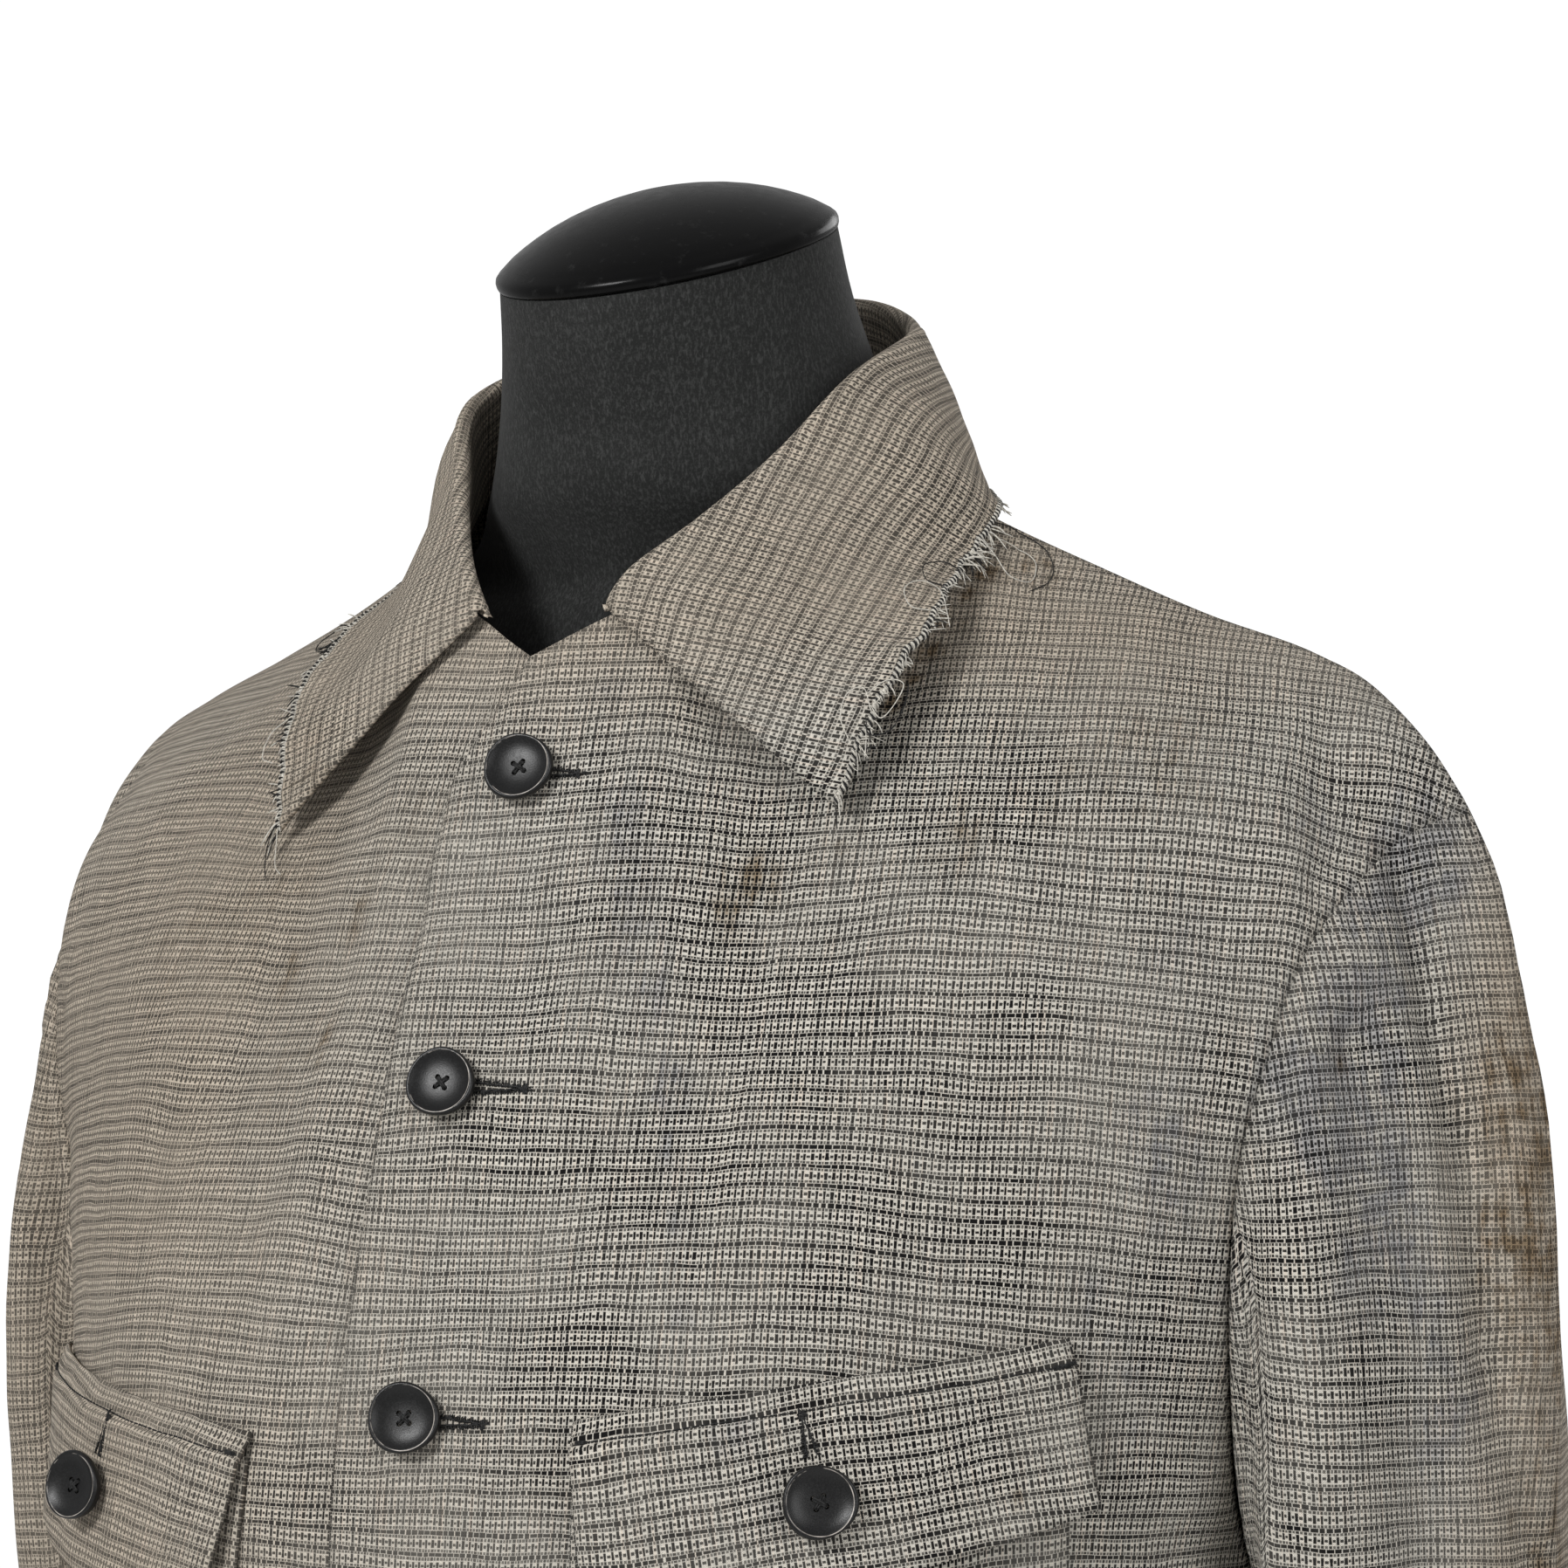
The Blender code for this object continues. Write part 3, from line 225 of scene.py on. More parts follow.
class Tint(Enum):
    """The vertex attributes that carry marks which follow the cloth."""

    # brown stains, plus painted shade under the collar's left outer edge and in the sleeve head's dimple
    BROWN = "brown_marks"
    BLUE = "blue_marks"
    # a darker, browner tone that grows towards the wearer's right, the sleeve's outer side and the shoulders
    SIDE = "worn_side"


# for each side: the flap's inner end from the centre line, its top's height there and its slant
FLAP_PLACES = {Side.LEFT: (56.0, -206.5, math.radians(9.5)), Side.RIGHT: (48.5, -213.0, math.radians(8.0))}


def spline(keys: Array, points: Array, at: Array) -> Array:
    """Reads a Catmull-Rom curve at several values.

    Args:
        keys: The value at which the curve passes each point.
        points: The points, along the first axis.
        at: The values to read, of any shape.

    Returns:
        The curve's points, with the shape of at in front.
    """
    keys, points = np.asarray(keys, float), np.asarray(points, float)
    at = np.clip(np.asarray(at, float), keys[0], keys[-1])
    i = np.clip(np.searchsorted(keys, at, side="right") - 1, 0, len(keys) - 2)
    slopes = np.gradient(points, keys, axis=0)
    wide = at.shape + (1,) * (points.ndim - 1)
    span = (keys[i + 1] - keys[i]).reshape(wide)
    t = (at - keys[i]).reshape(wide) / span
    return ((2 * t**3 - 3 * t**2 + 1) * points[i] + (t**3 - 2 * t**2 + t) * span * slopes[i]
            + (3 * t**2 - 2 * t**3) * points[i + 1] + (t**3 - t**2) * span * slopes[i + 1])


def hermite(start: Array, start_lean: Array, end: Array, end_lean: Array, t: Array) -> Array:
    """Points on curves that leave start along one lean and reach end along another.

    Args:
        start: Where each curve begins.
        start_lean: The way it leaves.
        end: Where each curve ends.
        end_lean: The way it arrives.
        t: The share of each curve, with a last axis of one.

    Returns:
        The points.
    """
    reach = np.linalg.norm(end - start, axis=-1, keepdims=True)
    return ((2 * t**3 - 3 * t**2 + 1) * start + (t**3 - 2 * t**2 + t) * reach * start_lean
            + (3 * t**2 - 2 * t**3) * end + (t**3 - t**2) * reach * end_lean)


def smooth(value: Array) -> Array:
    """A step from 0 to 1 with flat ends."""
    value = np.clip(value, 0.0, 1.0)
    return value * value * (3 - 2 * value)


def unit(ways: Array) -> Array:
    """The same directions, each of length 1."""
    return ways / np.linalg.norm(ways, axis=-1, keepdims=True)


def run_length(line: Array) -> Array:
    """How far along a line each of its points lies."""
    return np.concatenate([[0], np.cumsum(np.linalg.norm(np.diff(line, axis=0), axis=1))])


def along_line(at: Array | float, keys: Array, values: Array) -> Array:
    """Reads a table of values, one row for each key, at other keys."""
    return np.stack([np.interp(at, keys, values[:, k]) for k in range(values.shape[1])], -1)


def between(table: Array, row: Array | float, column: Array | float) -> Array:
    """Reads a grid of values at places between its rows and columns.

    Args:
        table: The grid, rows by columns by values.
        row: The rows to read, fractions of a row among them.
        column: The columns to read.

    Returns:
        The values there.
    """
    j = np.clip(np.asarray(row).astype(int), 0, table.shape[0] - 2)
    i = np.clip(np.asarray(column).astype(int), 0, table.shape[1] - 2)
    a, b = np.asarray(column - i)[..., None], np.asarray(row - j)[..., None]
    return ((table[j, i] * (1 - a) + table[j, i + 1] * a) * (1 - b)
            + (table[j + 1, i] * (1 - a) + table[j + 1, i + 1] * a) * b)


def even_path(points: Array, count: int) -> Array:
    """Places at equal steps along a smooth line through points."""
    line = spline(np.arange(len(points)), points, np.linspace(0, len(points) - 1, 400))
    length = run_length(line)
    return along_line(np.linspace(0, length[-1], count), length, line)


def ridge(here: Array, folds: Array, size: int) -> Array:
    """How far soft ridges and troughs lift each point.

    Args:
        here: The points, in the space that the folds are given in.
        folds: Rows of start, end, width and depth.
        size: How many numbers a place has in that space.

    Returns:
        The lift of each point in millimetres.
    """
    lift = np.zeros(here.shape[:-1])
    for fold in folds:
        start, end = fold[:size], fold[size:2 * size]
        width, depth = fold[2 * size:]
        line = end - start
        t = np.clip(((here - start) @ line) / (line @ line), 0, 1)
        away = np.linalg.norm(here - start - t[..., None] * line, axis=-1) / width
        lift += depth * np.exp(-away * away)
    return lift


def ripple(place: Array, size: float, seed: int) -> Array:
    """Slow uneven waves over a flat cut.

    Args:
        place: Places in the cut, in millimetres.
        size: The usual length of a wave.
        seed: Which waves.

    Returns:
        Values of about -1 to 1.
    """
    rng = np.random.default_rng(seed)
    total = np.zeros(place.shape[:-1])
    for _ in range(7):
        turn, phase = rng.uniform(0, 2 * math.pi, 2)
        length = size * rng.uniform(0.7, 1.6)
        way = np.array([math.cos(turn), math.sin(turn)])
        total += np.sin(2 * math.pi * (place @ way) / length + phase)
    return total / 4.0


def to_world(points: Array) -> Array:
    """From the tables' millimetres to the world's metres."""
    return points * MM + np.array([0, 0, NOTCH_HEIGHT])


def grid_normals(points: Array) -> Array:
    """Unit normals of a grid whose columns run across and whose rows run up."""
    side, rise = np.gradient(points, axis=1), np.gradient(points, axis=0)
    return unit(np.cross(side, rise))


def lay_flat(net: Array, middle: int) -> Array:
    """Lays a coarse net of cloth flat, turning each of its triangles and stretching it as little as it can.

    Args:
        net: The net's points.
        middle: The column that lies upright.

    Returns:
        Each point's flat place, from the middle column's foot.
    """
    index = np.arange(net.shape[0] * net.shape[1]).reshape(net.shape[:2])
    a, b, c, d = (part.ravel() for part in (index[:-1, :-1], index[:-1, 1:], index[1:, 1:], index[1:, :-1]))
    triangles = np.concatenate([np.stack([a, b, c], 1), np.stack([a, c, d], 1)])
    bends = net.reshape(-1, 3)[triangles]
    first, second = bends[:, 1] - bends[:, 0], bends[:, 2] - bends[:, 0]
    flat = np.zeros((len(triangles), 3, 2))
    flat[:, 1, 0] = np.linalg.norm(first, axis=1)
    flat[:, 2, 0] = (second * unit(first)).sum(1)
    flat[:, 2, 1] = np.linalg.norm(second - unit(first) * flat[:, 2, :1], axis=1)
    pairs = []
    matrix = np.zeros((index.size, index.size))
    for k in range(3):
        i, j = (k + 1) % 3, (k + 2) % 3
        one, two = flat[:, i] - flat[:, k], flat[:, j] - flat[:, k]
        cross = one[:, 0] * two[:, 1] - one[:, 1] * two[:, 0]
        weight = np.clip((one * two).sum(1) / np.maximum(cross, 1e-9), 0.05, 20)
        pairs.append((i, j, weight, flat[:, i] - flat[:, j]))
        p, q = triangles[:, i], triangles[:, j]
        for row, column, way in ((p, p, 1), (q, q, 1), (p, q, -1), (q, p, -1)):
            np.add.at(matrix, (row, column), way * weight)
    pin = index[0, middle]
    matrix[pin] = 0
    matrix[pin, pin] = 1
    inverse = np.linalg.inv(matrix)
    across = np.cumsum(np.linalg.norm(np.diff(net, axis=1, prepend=net[:, :1]), axis=2), axis=1)
    up = np.cumsum(np.linalg.norm(np.diff(net, axis=0, prepend=net[:1]), axis=2), axis=0)
    cut = np.stack([across - across[:, middle:middle + 1], up], 2).reshape(-1, 2)
    for _ in range(CUT_ROUNDS):
        placed = cut[triangles]
        spread = np.zeros((len(triangles), 2, 2))
        for i, j, weight, edge in pairs:
            now = placed[:, i] - placed[:, j]
            spread += weight[:, None, None] * edge[:, :, None] * now[:, None, :]
        cos, sin = spread[:, 0, 0] + spread[:, 1, 1], spread[:, 0, 1] - spread[:, 1, 0]
        size = np.hypot(cos, sin)
        cos, sin = cos / size, sin / size
        pull = np.zeros_like(cut)
        for i, j, weight, edge in pairs:
            turned = np.stack([cos * edge[:, 0] - sin * edge[:, 1], sin * edge[:, 0] + cos * edge[:, 1]], 1)
            np.add.at(pull, triangles[:, i], weight[:, None] * turned)
            np.add.at(pull, triangles[:, j], -weight[:, None] * turned)
        pull[pin] = 0
        cut = inverse @ pull
    lean = unit(cut[index[-1, middle]] - cut[pin])
    turn = np.array([[lean[1], -lean[0]], [lean[0], lean[1]]])
    return ((cut - cut[pin]) @ turn.T).reshape(*net.shape[:2], 2)


def flat_cut(points: Array, centre: int, corner: int = 0) -> Array:
    """Lays a curved grid of cloth flat with as little stretch as it can, as its pattern was cut.

    Args:
        points: The grid of points.
        centre: The column that lies upright in the cut.
        corner: A column where the rows turn sharply, or 0.

    Returns:
        Each point's place in the cut, in millimetres across and up from the centre column's foot.
    """
    rows = np.unique(np.linspace(0, points.shape[0] - 1, CUT_ROWS).round().astype(int))
    columns = np.linspace(0, points.shape[1] - 1, CUT_COLUMNS).round().astype(int)
    columns = np.unique(np.append(columns, (centre, corner)))
    cut = lay_flat(points[np.ix_(rows, columns)], int(np.searchsorted(columns, centre)))
    steps = [np.linalg.norm(np.diff(points, axis=axis), axis=2).mean(1 - axis) for axis in (0, 1)]
    up_keys, side_keys = (np.append(0.0, np.cumsum(step)) for step in steps)
    fine = spline(up_keys[rows], cut, up_keys).transpose(1, 0, 2)
    last = points.shape[1] - 1
    laid = []
    for start, end in ((0, corner), (corner, last)) if corner else ((0, last),):
        inside = (columns >= start) & (columns <= end)
        keys = side_keys[start + bool(start):end + 1]
        laid.append(spline(side_keys[columns[inside]], fine[inside], keys))
    return np.concatenate(laid).transpose(1, 0, 2)


@dataclass
class ClothGrid:
    """A piece of cloth as a grid of points, with outward normals and places in its flat cut."""

    points: Array
    out: Array
    cut: Array

    def mirrored(self) -> "ClothGrid":
        """The same cloth on the wearer's other side."""
        cut = self.cut * np.array([-1.0, 1.0])
        return ClothGrid((self.points * MIRROR)[:, ::-1], (self.out * MIRROR)[:, ::-1], cut[:, ::-1])

    def lifted(self, by: Array) -> "ClothGrid":
        """The same cloth, moved out along its normals by so many millimetres at each point."""
        points = self.points + self.out * np.asarray(by)[..., None]
        return ClothGrid(points, grid_normals(points), self.cut)

    def edge_distance(self, edge: Edge) -> Array:
        """How far each point lies from one edge of the grid, along the cloth."""
        axis, last = edge.value
        steps = np.diff(self.points, axis=axis, prepend=self.points.take([0], axis))
        length = np.cumsum(np.linalg.norm(steps, axis=2), axis=axis)
        return length.take([-1], axis) - length if last else length

    def turned_edge(self, edge: Edge, depth: float | Array, reach: float,
                    ways: Array | None = None) -> "ClothGrid":
        """The same cloth, with one edge rolled or sunk inwards.

        Args:
            edge: Which edge.
            depth: How far the edge sinks, at each of its points or at all of them.
            reach: How far from the edge the cloth starts to sink.
            ways: The outward way at each of the edge's points, which a seam's two sides share.

        Returns:
            The turned cloth.
        """
        near = np.clip(1 - self.edge_distance(edge) / reach, 0, 1)
        axis = edge.value[0]
        depth = np.expand_dims(np.broadcast_to(depth, near.shape[1 - axis]), axis)
        out = self.out
        if ways is not None:
            share = near[..., None]
            out = unit(out * (1 - share) + np.expand_dims(ways, axis) * share)
        points = self.points - out * (depth * near * near)[..., None]
        return ClothGrid(points, grid_normals(points), self.cut)

    def size(self) -> tuple[float, float]:
        """The flat cut's width and length in metres."""
        flat = self.cut.reshape(-1, 2)
        width, length = flat.max(0) - flat.min(0)
        return float(width * MM), float(length * MM)

    def area(self) -> float:
        """The flat cut's area in square metres."""
        edge_a = self.cut[1:, 1:] - self.cut[:-1, :-1]
        edge_b = self.cut[1:, :-1] - self.cut[:-1, 1:]
        cross = edge_a[..., 0] * edge_b[..., 1] - edge_a[..., 1] * edge_b[..., 0]
        return float(np.abs(cross).sum() / 2 * MM * MM)


@dataclass
class JacketForm:
    """The drape of the body's cloth over the dress form, as surfaces of share across and row up."""

    low_rows: int = 96
    high_rows: int = 78
    neck_columns: int = 24
    shoulder_columns: int = 62
    lap_columns: int = 8
    corner_trim: float = 0.075
    corner_row: float = 0.72
    lap: float = 18.0
    lap_step: float = 2.4
    turn_reach: int = 9
    turn_rounds: int = 24
    turn_fade: float = 14.0

    def ring(self, height: Array, share: Array, back: bool) -> Array:
        """Points on the quarter section from the centre line (share 0) to the side (share 1)."""
        half, side_y, front, rear, square = np.moveaxis(
            spline(BODY_LEVELS[:, 0], BODY_LEVELS[:, 1:], height)[..., None], -2, 0)
        turns = np.linspace(0, math.pi / 2, 97)
        depth = rear - side_y if back else front + side_y
        x = half * np.sin(turns) ** (2 / square)
        y = depth * np.cos(turns) ** (2 / square)
        steps = np.hypot(np.diff(x, axis=-1), np.diff(y, axis=-1))
        length = np.concatenate([np.zeros_like(steps[..., :1]), np.cumsum(steps, axis=-1)], -1)
        want = share[..., None] * length[..., -1:]
        k = np.clip((length <= want).sum(-1, keepdims=True) - 1, 0, len(turns) - 2)
        low, high = np.take_along_axis(length, k, -1), np.take_along_axis(length, k + 1, -1)
        t = (want - low) / (high - low)
        x, y = (np.take_along_axis(v, k, -1) * (1 - t) + np.take_along_axis(v, k + 1, -1) * t
                for v in (x, y))
        y = side_y + y if back else side_y - y
        return np.concatenate([x, y, np.broadcast_to(height[..., None], x.shape)], -1)

    def top(self, share: Array, back: bool) -> tuple[Array, Array]:
        """The panel's top edge, neckline then shoulder seam, and the way the cloth meets it."""
        neck = BACK_NECK if back else FRONT_NECK
        at_neck = spline(neck[:, 0], neck[:, 1:], share)
        at_shoulder = spline(SHOULDER_LINE[:, 0], SHOULDER_LINE[:, 1:], share)
        if back:
            at_shoulder[..., 4] *= -1
        values = np.where((share <= NECK_SHARE)[..., None], at_neck, at_shoulder)
        return values[..., :3], unit(values[..., 3:])

    def plain(self, share: Array, row: Array, back: bool) -> Array:
        """Points on the body without its folds. Shares below 0 lie past the centre line."""
        share, row = np.broadcast_arrays(np.asarray(share, float), np.asarray(row, float))
        t = np.clip((row - UNDERARM_ROW) / (1 - UNDERARM_ROW), 0, 1)[..., None]
        height = HEM + (UNDERARM - HEM) * np.minimum(row / UNDERARM_ROW, 1)
        end, lean = self.top(np.abs(share), back)
        point = hermite(self.ring(height, np.abs(share), back), UP, end, lean, t)
        point[..., 0] *= np.where(share < 0, -1, 1)
        return point

    def folded(self, share: Array, row: Array, back: bool) -> Array:
        """Points on the body with its folds. Past the centre front it mirrors the other side."""
        share, row = np.broadcast_arrays(np.asarray(share, float), np.asarray(row, float))
        past = np.clip(share / LAP_SHARE, 0, None)
        row = row - self.corner_trim * smooth((row - self.corner_row) / (1 - self.corner_row)) * past
        here_share, step = np.abs(share), 0.01
        here = self.plain(here_share, row, back)
        side = (self.plain(np.minimum(here_share + step, 1), row, back)
                - self.plain(here_share - step, row, back))
        rise = (self.plain(here_share, np.minimum(row + step, 1), back)
                - self.plain(here_share, row - step, back))
        out = unit(np.cross(side, rise)) * (-1 if back else 1)
        flat = np.stack([here_share * HALF_GIRTH, row * PANEL_RISE], -1)
        scale = np.array([HALF_GIRTH, PANEL_RISE, HALF_GIRTH, PANEL_RISE, 1, 1])
        point = here + out * ridge(flat, (BACK_FOLDS if back else FRONT_FOLDS) * scale, 2)[..., None]
        point[..., 0] *= np.where(share < 0, -1, 1)
        return point

    def seam(self, back: bool) -> tuple[Array, Array, Array]:
        """Where each high row meets the armhole: its place, and its share and row on the body."""
        place = even_path(BACK_ARMHOLE if back else FRONT_ARMHOLE, self.high_rows + 1)
        shares, rows = np.linspace(0.5, 1.0, 51), np.linspace(UNDERARM_ROW, 1.0, 61)
        net = self.plain(shares[None, :], rows[:, None], back)
        away = np.linalg.norm(net[None] - place[:, None, None], axis=3).reshape(len(place), -1)
        row_at, share_at = np.unravel_index(away.argmin(1), net.shape[:2])
        share, row = shares[share_at], rows[row_at]
        reach = np.array([0.01, 0.0075])
        for _ in range(2):
            offsets = np.linspace(-1, 1, 9)
            tries_share = np.clip(share[:, None, None] + reach[0] * offsets[None, :, None], 0.5, 1)
            tries_row = np.clip(row[:, None, None] + reach[1] * offsets[None, None, :], UNDERARM_ROW, 1)
            tries = self.plain(tries_share, tries_row, back)
            away = np.linalg.norm(tries - place[:, None, None], axis=3).reshape(len(place), -1)
            best_share, best_row = np.unravel_index(away.argmin(1), tries.shape[1:3])
            each = np.arange(len(place))
            share, row = tries_share[each, best_share, 0], tries_row[each, 0, best_row]
            reach = reach / 4
        ends = np.linspace(0, 1, len(place))
        kernel = np.array([1, 3, 5, 6, 5, 3, 1]) / 24
        pad = len(kernel) // 2
        for values in (share, row):
            wide = np.concatenate([np.full(pad, values[0]), values, np.full(pad, values[-1])])
            values[:] = np.convolve(wide, kernel, mode="valid")
        hold = smooth(np.minimum(ends, 1 - ends) / 0.04)
        share = share * hold + (1 - hold)
        row = row * hold + np.where(ends < 0.5, UNDERARM_ROW, 1.0) * (1 - hold)
        return place, share, row

    def shares(self, lap: bool) -> Array:
        """Column shares from the front edge or centre line to the side."""
        neck = np.linspace(0.0, NECK_SHARE, self.neck_columns + 1)
        shoulder = np.linspace(NECK_SHARE, 1.0, self.shoulder_columns + 1)[1:]
        under = np.linspace(LAP_SHARE, 0.0, self.lap_columns + 1)[:-1] if lap else np.zeros(0)
        return np.concatenate([under, neck, shoulder])

    def ease_turn(self, points: Array, column: int) -> None:
        """Rounds the rows off where they turn at one column, all but the top edge."""
        low, high = max(column - self.turn_reach, 1), column + self.turn_reach
        fade = smooth(np.linspace(1, 0, len(points)) * self.turn_fade)[:, None, None]
        for _ in range(self.turn_rounds):
            near = (points[:, low - 1:high - 1] + points[:, low + 1:high + 1]) / 2
            points[:, low:high] += 0.5 * fade * (near - points[:, low:high])

    def panel(self, back: bool) -> ClothGrid:
        """Half of the body: rows from the hem up, columns from the centre to the side and armhole."""
        shares = self.shares(lap=not back)
        low = UNDERARM_ROW * np.arange(self.low_rows) / self.low_rows
        foot = self.folded(shares[None, :], low[:, None], back)
        place, seam_share, seam_row = self.seam(back)
        row = UNDERARM_ROW + (1 - UNDERARM_ROW) * np.arange(self.high_rows + 1) / self.high_rows
        miss = place - self.folded(seam_share, seam_row, back)
        pull = np.maximum(shares, 0.0) ** 3
        across = shares[None, :] * np.where(shares > 0, seam_share[:, None], 1.0)
        level = row[:, None] + (seam_row - row)[:, None] * pull
        head = self.folded(across, level, back) + miss[:, None] * pull[None, :, None]
        points = np.concatenate([foot, head])
        centre = 0 if back else self.lap_columns
        for column in (centre, centre + self.neck_columns):
            self.ease_turn(points, column)
        cut = flat_cut(points, centre, centre + self.neck_columns)
        if back:
            points, cut = points[:, ::-1], cut[:, ::-1]
        return ClothGrid(points, grid_normals(points), cut)

    def sink(self, cloth: ClothGrid) -> ClothGrid:
        """The under front, sunk beneath the upper one where they lap."""
        reach = (2.6 * self.lap - cloth.points[..., 0]) / (1.5 * self.lap)
        return cloth.lifted(-self.lap_step * smooth(reach))


@dataclass
class SleeveForm:
    """The drape of a sleeve from the armhole's edge to the cuff."""

    cap_rows: int = 40
    low_rows: int = 84

    def section(self, height: Array, turn: Array) -> Array:
        """Points on the sleeve below the armhole. Turn is 0 outside and -90 at the front."""
        x, y, outer, inner, half_y = np.moveaxis(
            spline(SLEEVE_RINGS[:, 0], SLEEVE_RINGS[:, 1:], height), -1, 0)
        turn = np.radians(turn)
        half_x = np.where(np.cos(turn) > 0, outer, inner)
        return np.stack([x + half_x * np.cos(turn), y + half_y * np.sin(turn),
                         np.broadcast_to(height, x.shape)], -1)

    def build(self, edge: Array) -> ClothGrid:
        """The sleeve, opened at the underarm: rows from the cuff up, columns round from front to back.

        Args:
            edge: The armhole's points from the underarm over the front and shoulder to the underarm.

        Returns:
            The sleeve's cloth.
        """
        turns = np.linspace(-180, 180, len(edge))
        bicep = SLEEVE_RINGS[-1, 0]
        low, side = np.abs(turns) / 180, np.sin(np.radians(turns))
        lean = np.stack([0.34 + 0.06 * low, 0.04 + 0.16 * side, np.full_like(low, -0.92)], 1)
        t = (np.arange(self.cap_rows) / self.cap_rows)[:, None, None]
        end = self.section(np.full_like(turns, bicep), turns)
        cap = hermite(edge[None], lean[None], end[None], -UP, t)
        heights = bicep + (CUFF - bicep) * np.arange(self.low_rows + 1) / self.low_rows
        tube = self.section(*np.broadcast_arrays(heights[:, None], turns[None]))
        points = np.concatenate([cap, tube])[::-1]
        for _ in range(3):
            points[:-1, 0] = points[:-1, -1] = (points[:-1, 1] + points[:-1, -2]) / 4 + points[:-1, 0] / 2
        out = grid_normals(points)
        down = np.concatenate([np.arange(self.cap_rows) * 0.5 / self.cap_rows,
                               0.5 + 0.5 * np.arange(self.low_rows + 1) / self.low_rows])[::-1]
        here = np.stack(np.broadcast_arrays(turns[None], down[:, None] * SLEEVE_LENGTH), -1)
        folds = SLEEVE_FOLDS * np.array([1, SLEEVE_LENGTH, 1, SLEEVE_LENGTH, 1, 1])
        fade = smooth(down / 0.06)[:, None]
        points = points + out * (ridge(here, folds, 2) * fade)[..., None]
        return ClothGrid(points, grid_normals(points), flat_cut(points, len(turns) // 2))


@dataclass
class CollarForm:
    """The collar's sections: up the stand, over the roll line and down the fall."""

    columns: int = 110
    stand_steps: int = 9
    roll_steps: int = 9
    fall_steps: int = 30
    roll_radius: float = 2.7
    bulge: float = 2.4
    thickness: float = 2.0

    def half(self, form: JacketForm, left: bool) -> Array:
        """The sections of one side, from the front end to the centre back."""
        keys, step = COLLAR_STATIONS[:, 0], 0.004
        sizes = COLLAR_STATIONS[:, 1:7] if left else COLLAR_STATIONS[:, [1, 2, 3, 7, 8, 9]]
        share = np.linspace(keys[0], keys[-1], self.columns + 1)
        found = spline(keys, sizes, share)
        roll, edge = found[:, :3], found[:, 3:]
        run = unit(spline(keys, sizes, share + step)[:, :3] - spline(keys, sizes, share - step)[:, :3])
        back = share > NECK_SHARE
        front_line = form.top(share, False)[0]
        back_line = form.top(2 * NECK_SHARE - share, True)[0]
        seam = np.where(back[:, None], back_line, front_line)
        rise = unit(roll - seam)
        out = unit(np.cross(run, rise))
        seam = seam + rise * 0.5 - out * self.thickness
        centre = roll - rise * self.roll_radius
        foot = centre - out * self.roll_radius
        section = [seam + (foot - seam) * t for t in np.linspace(0, 1, self.stand_steps + 1)[:-1]]
        for turn in np.radians(np.linspace(180, 0, self.roll_steps + 1)):
            section.append(centre + self.roll_radius * (out * math.cos(turn) + rise * math.sin(turn)))
        start = section[-1]
        swell = unit(np.cross(edge - start, run)) * self.bulge
        for t in np.linspace(0, 1, self.fall_steps + 1)[1:]:
            section.append(start + (edge - start) * t + swell * math.sin(math.pi * t))
        return np.stack(section, 1)

    def build(self, form: JacketForm) -> ClothGrid:
        """The whole collar. Rows run up to the neck seam, columns from the left round the neck."""
        left, right = self.half(form, True), self.half(form, False) * MIRROR
        points = np.concatenate([left[:-1], right[::-1]]).transpose(1, 0, 2)[::-1]
        cut = flat_cut(points, self.columns)
        edge, place = cut[0], cut[..., 0]
        along = np.maximum.accumulate(edge[:, 0])
        start, end = ((edge[k, 1] - edge[k + 6, 1]) / (edge[k, 0] - edge[k + 6, 0]) for k in (0, -7))
        level = np.interp(place, along, edge[:, 1])
        level += start * np.minimum(place - along[0], 0) + end * np.maximum(place - along[-1], 0)
        return ClothGrid(points, grid_normals(points), np.stack([place, cut[..., 1] - level], 2))


@dataclass
class ChestChart:
    """Finds places on a front by their distance from the centre line and their height."""

    cloth: ClothGrid
    centre: int
    step: float = 2.0

    def __post_init__(self) -> None:
        """Resamples the front at even distances and heights."""
        self.across = np.arange(-16.0, 292.0, self.step)
        self.heights = np.arange(-630.0, 20.0, self.step)
        values = np.concatenate([self.cloth.points, self.cloth.out], 2)
        spread = np.zeros((len(values), len(self.across), values.shape[2]))
        for j, row in enumerate(self.cloth.points):
            length = run_length(row)
            spread[j] = along_line(self.across, length - length[self.centre], values[j])
        self.table = np.zeros((len(self.heights), len(self.across), values.shape[2]))
        for i in range(len(self.across)):
            order = np.maximum.accumulate(spread[:, i, 2] + np.arange(len(spread)) * 1e-6)
            self.table[:, i] = along_line(self.heights, order, spread[:, i])

    def find(self, across: Array | float, height: Array | float) -> tuple[Array, Array]:
        """Places and outward normals on the front.

        Args:
            across: Distances from the centre line along the cloth.
            height: Heights from the notch.

        Returns:
            The places and the normals there.
        """
        across, height = np.broadcast_arrays(np.asarray(across, float), np.asarray(height, float))
        x = np.clip((across - self.across[0]) / self.step, 0, len(self.across) - 1.001)
        y = np.clip((height - self.heights[0]) / self.step, 0, len(self.heights) - 1.001)
        value = between(self.table, y, x)
        return value[..., :3], unit(value[..., 3:])


def dress(piece: bpy.types.Object, slot: str, nodes: Sequence[str] = ()) -> bpy.types.Object:
    """Makes a piece ride on the body, hides the imported nodes it stands for, and logs its face count and
    slot.
    """
    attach(piece, "root")
    if nodes:
        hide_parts(*nodes)
    log.info("%s: %d faces, slot %s", piece.name, len(piece.data.polygons), slot)
    return piece


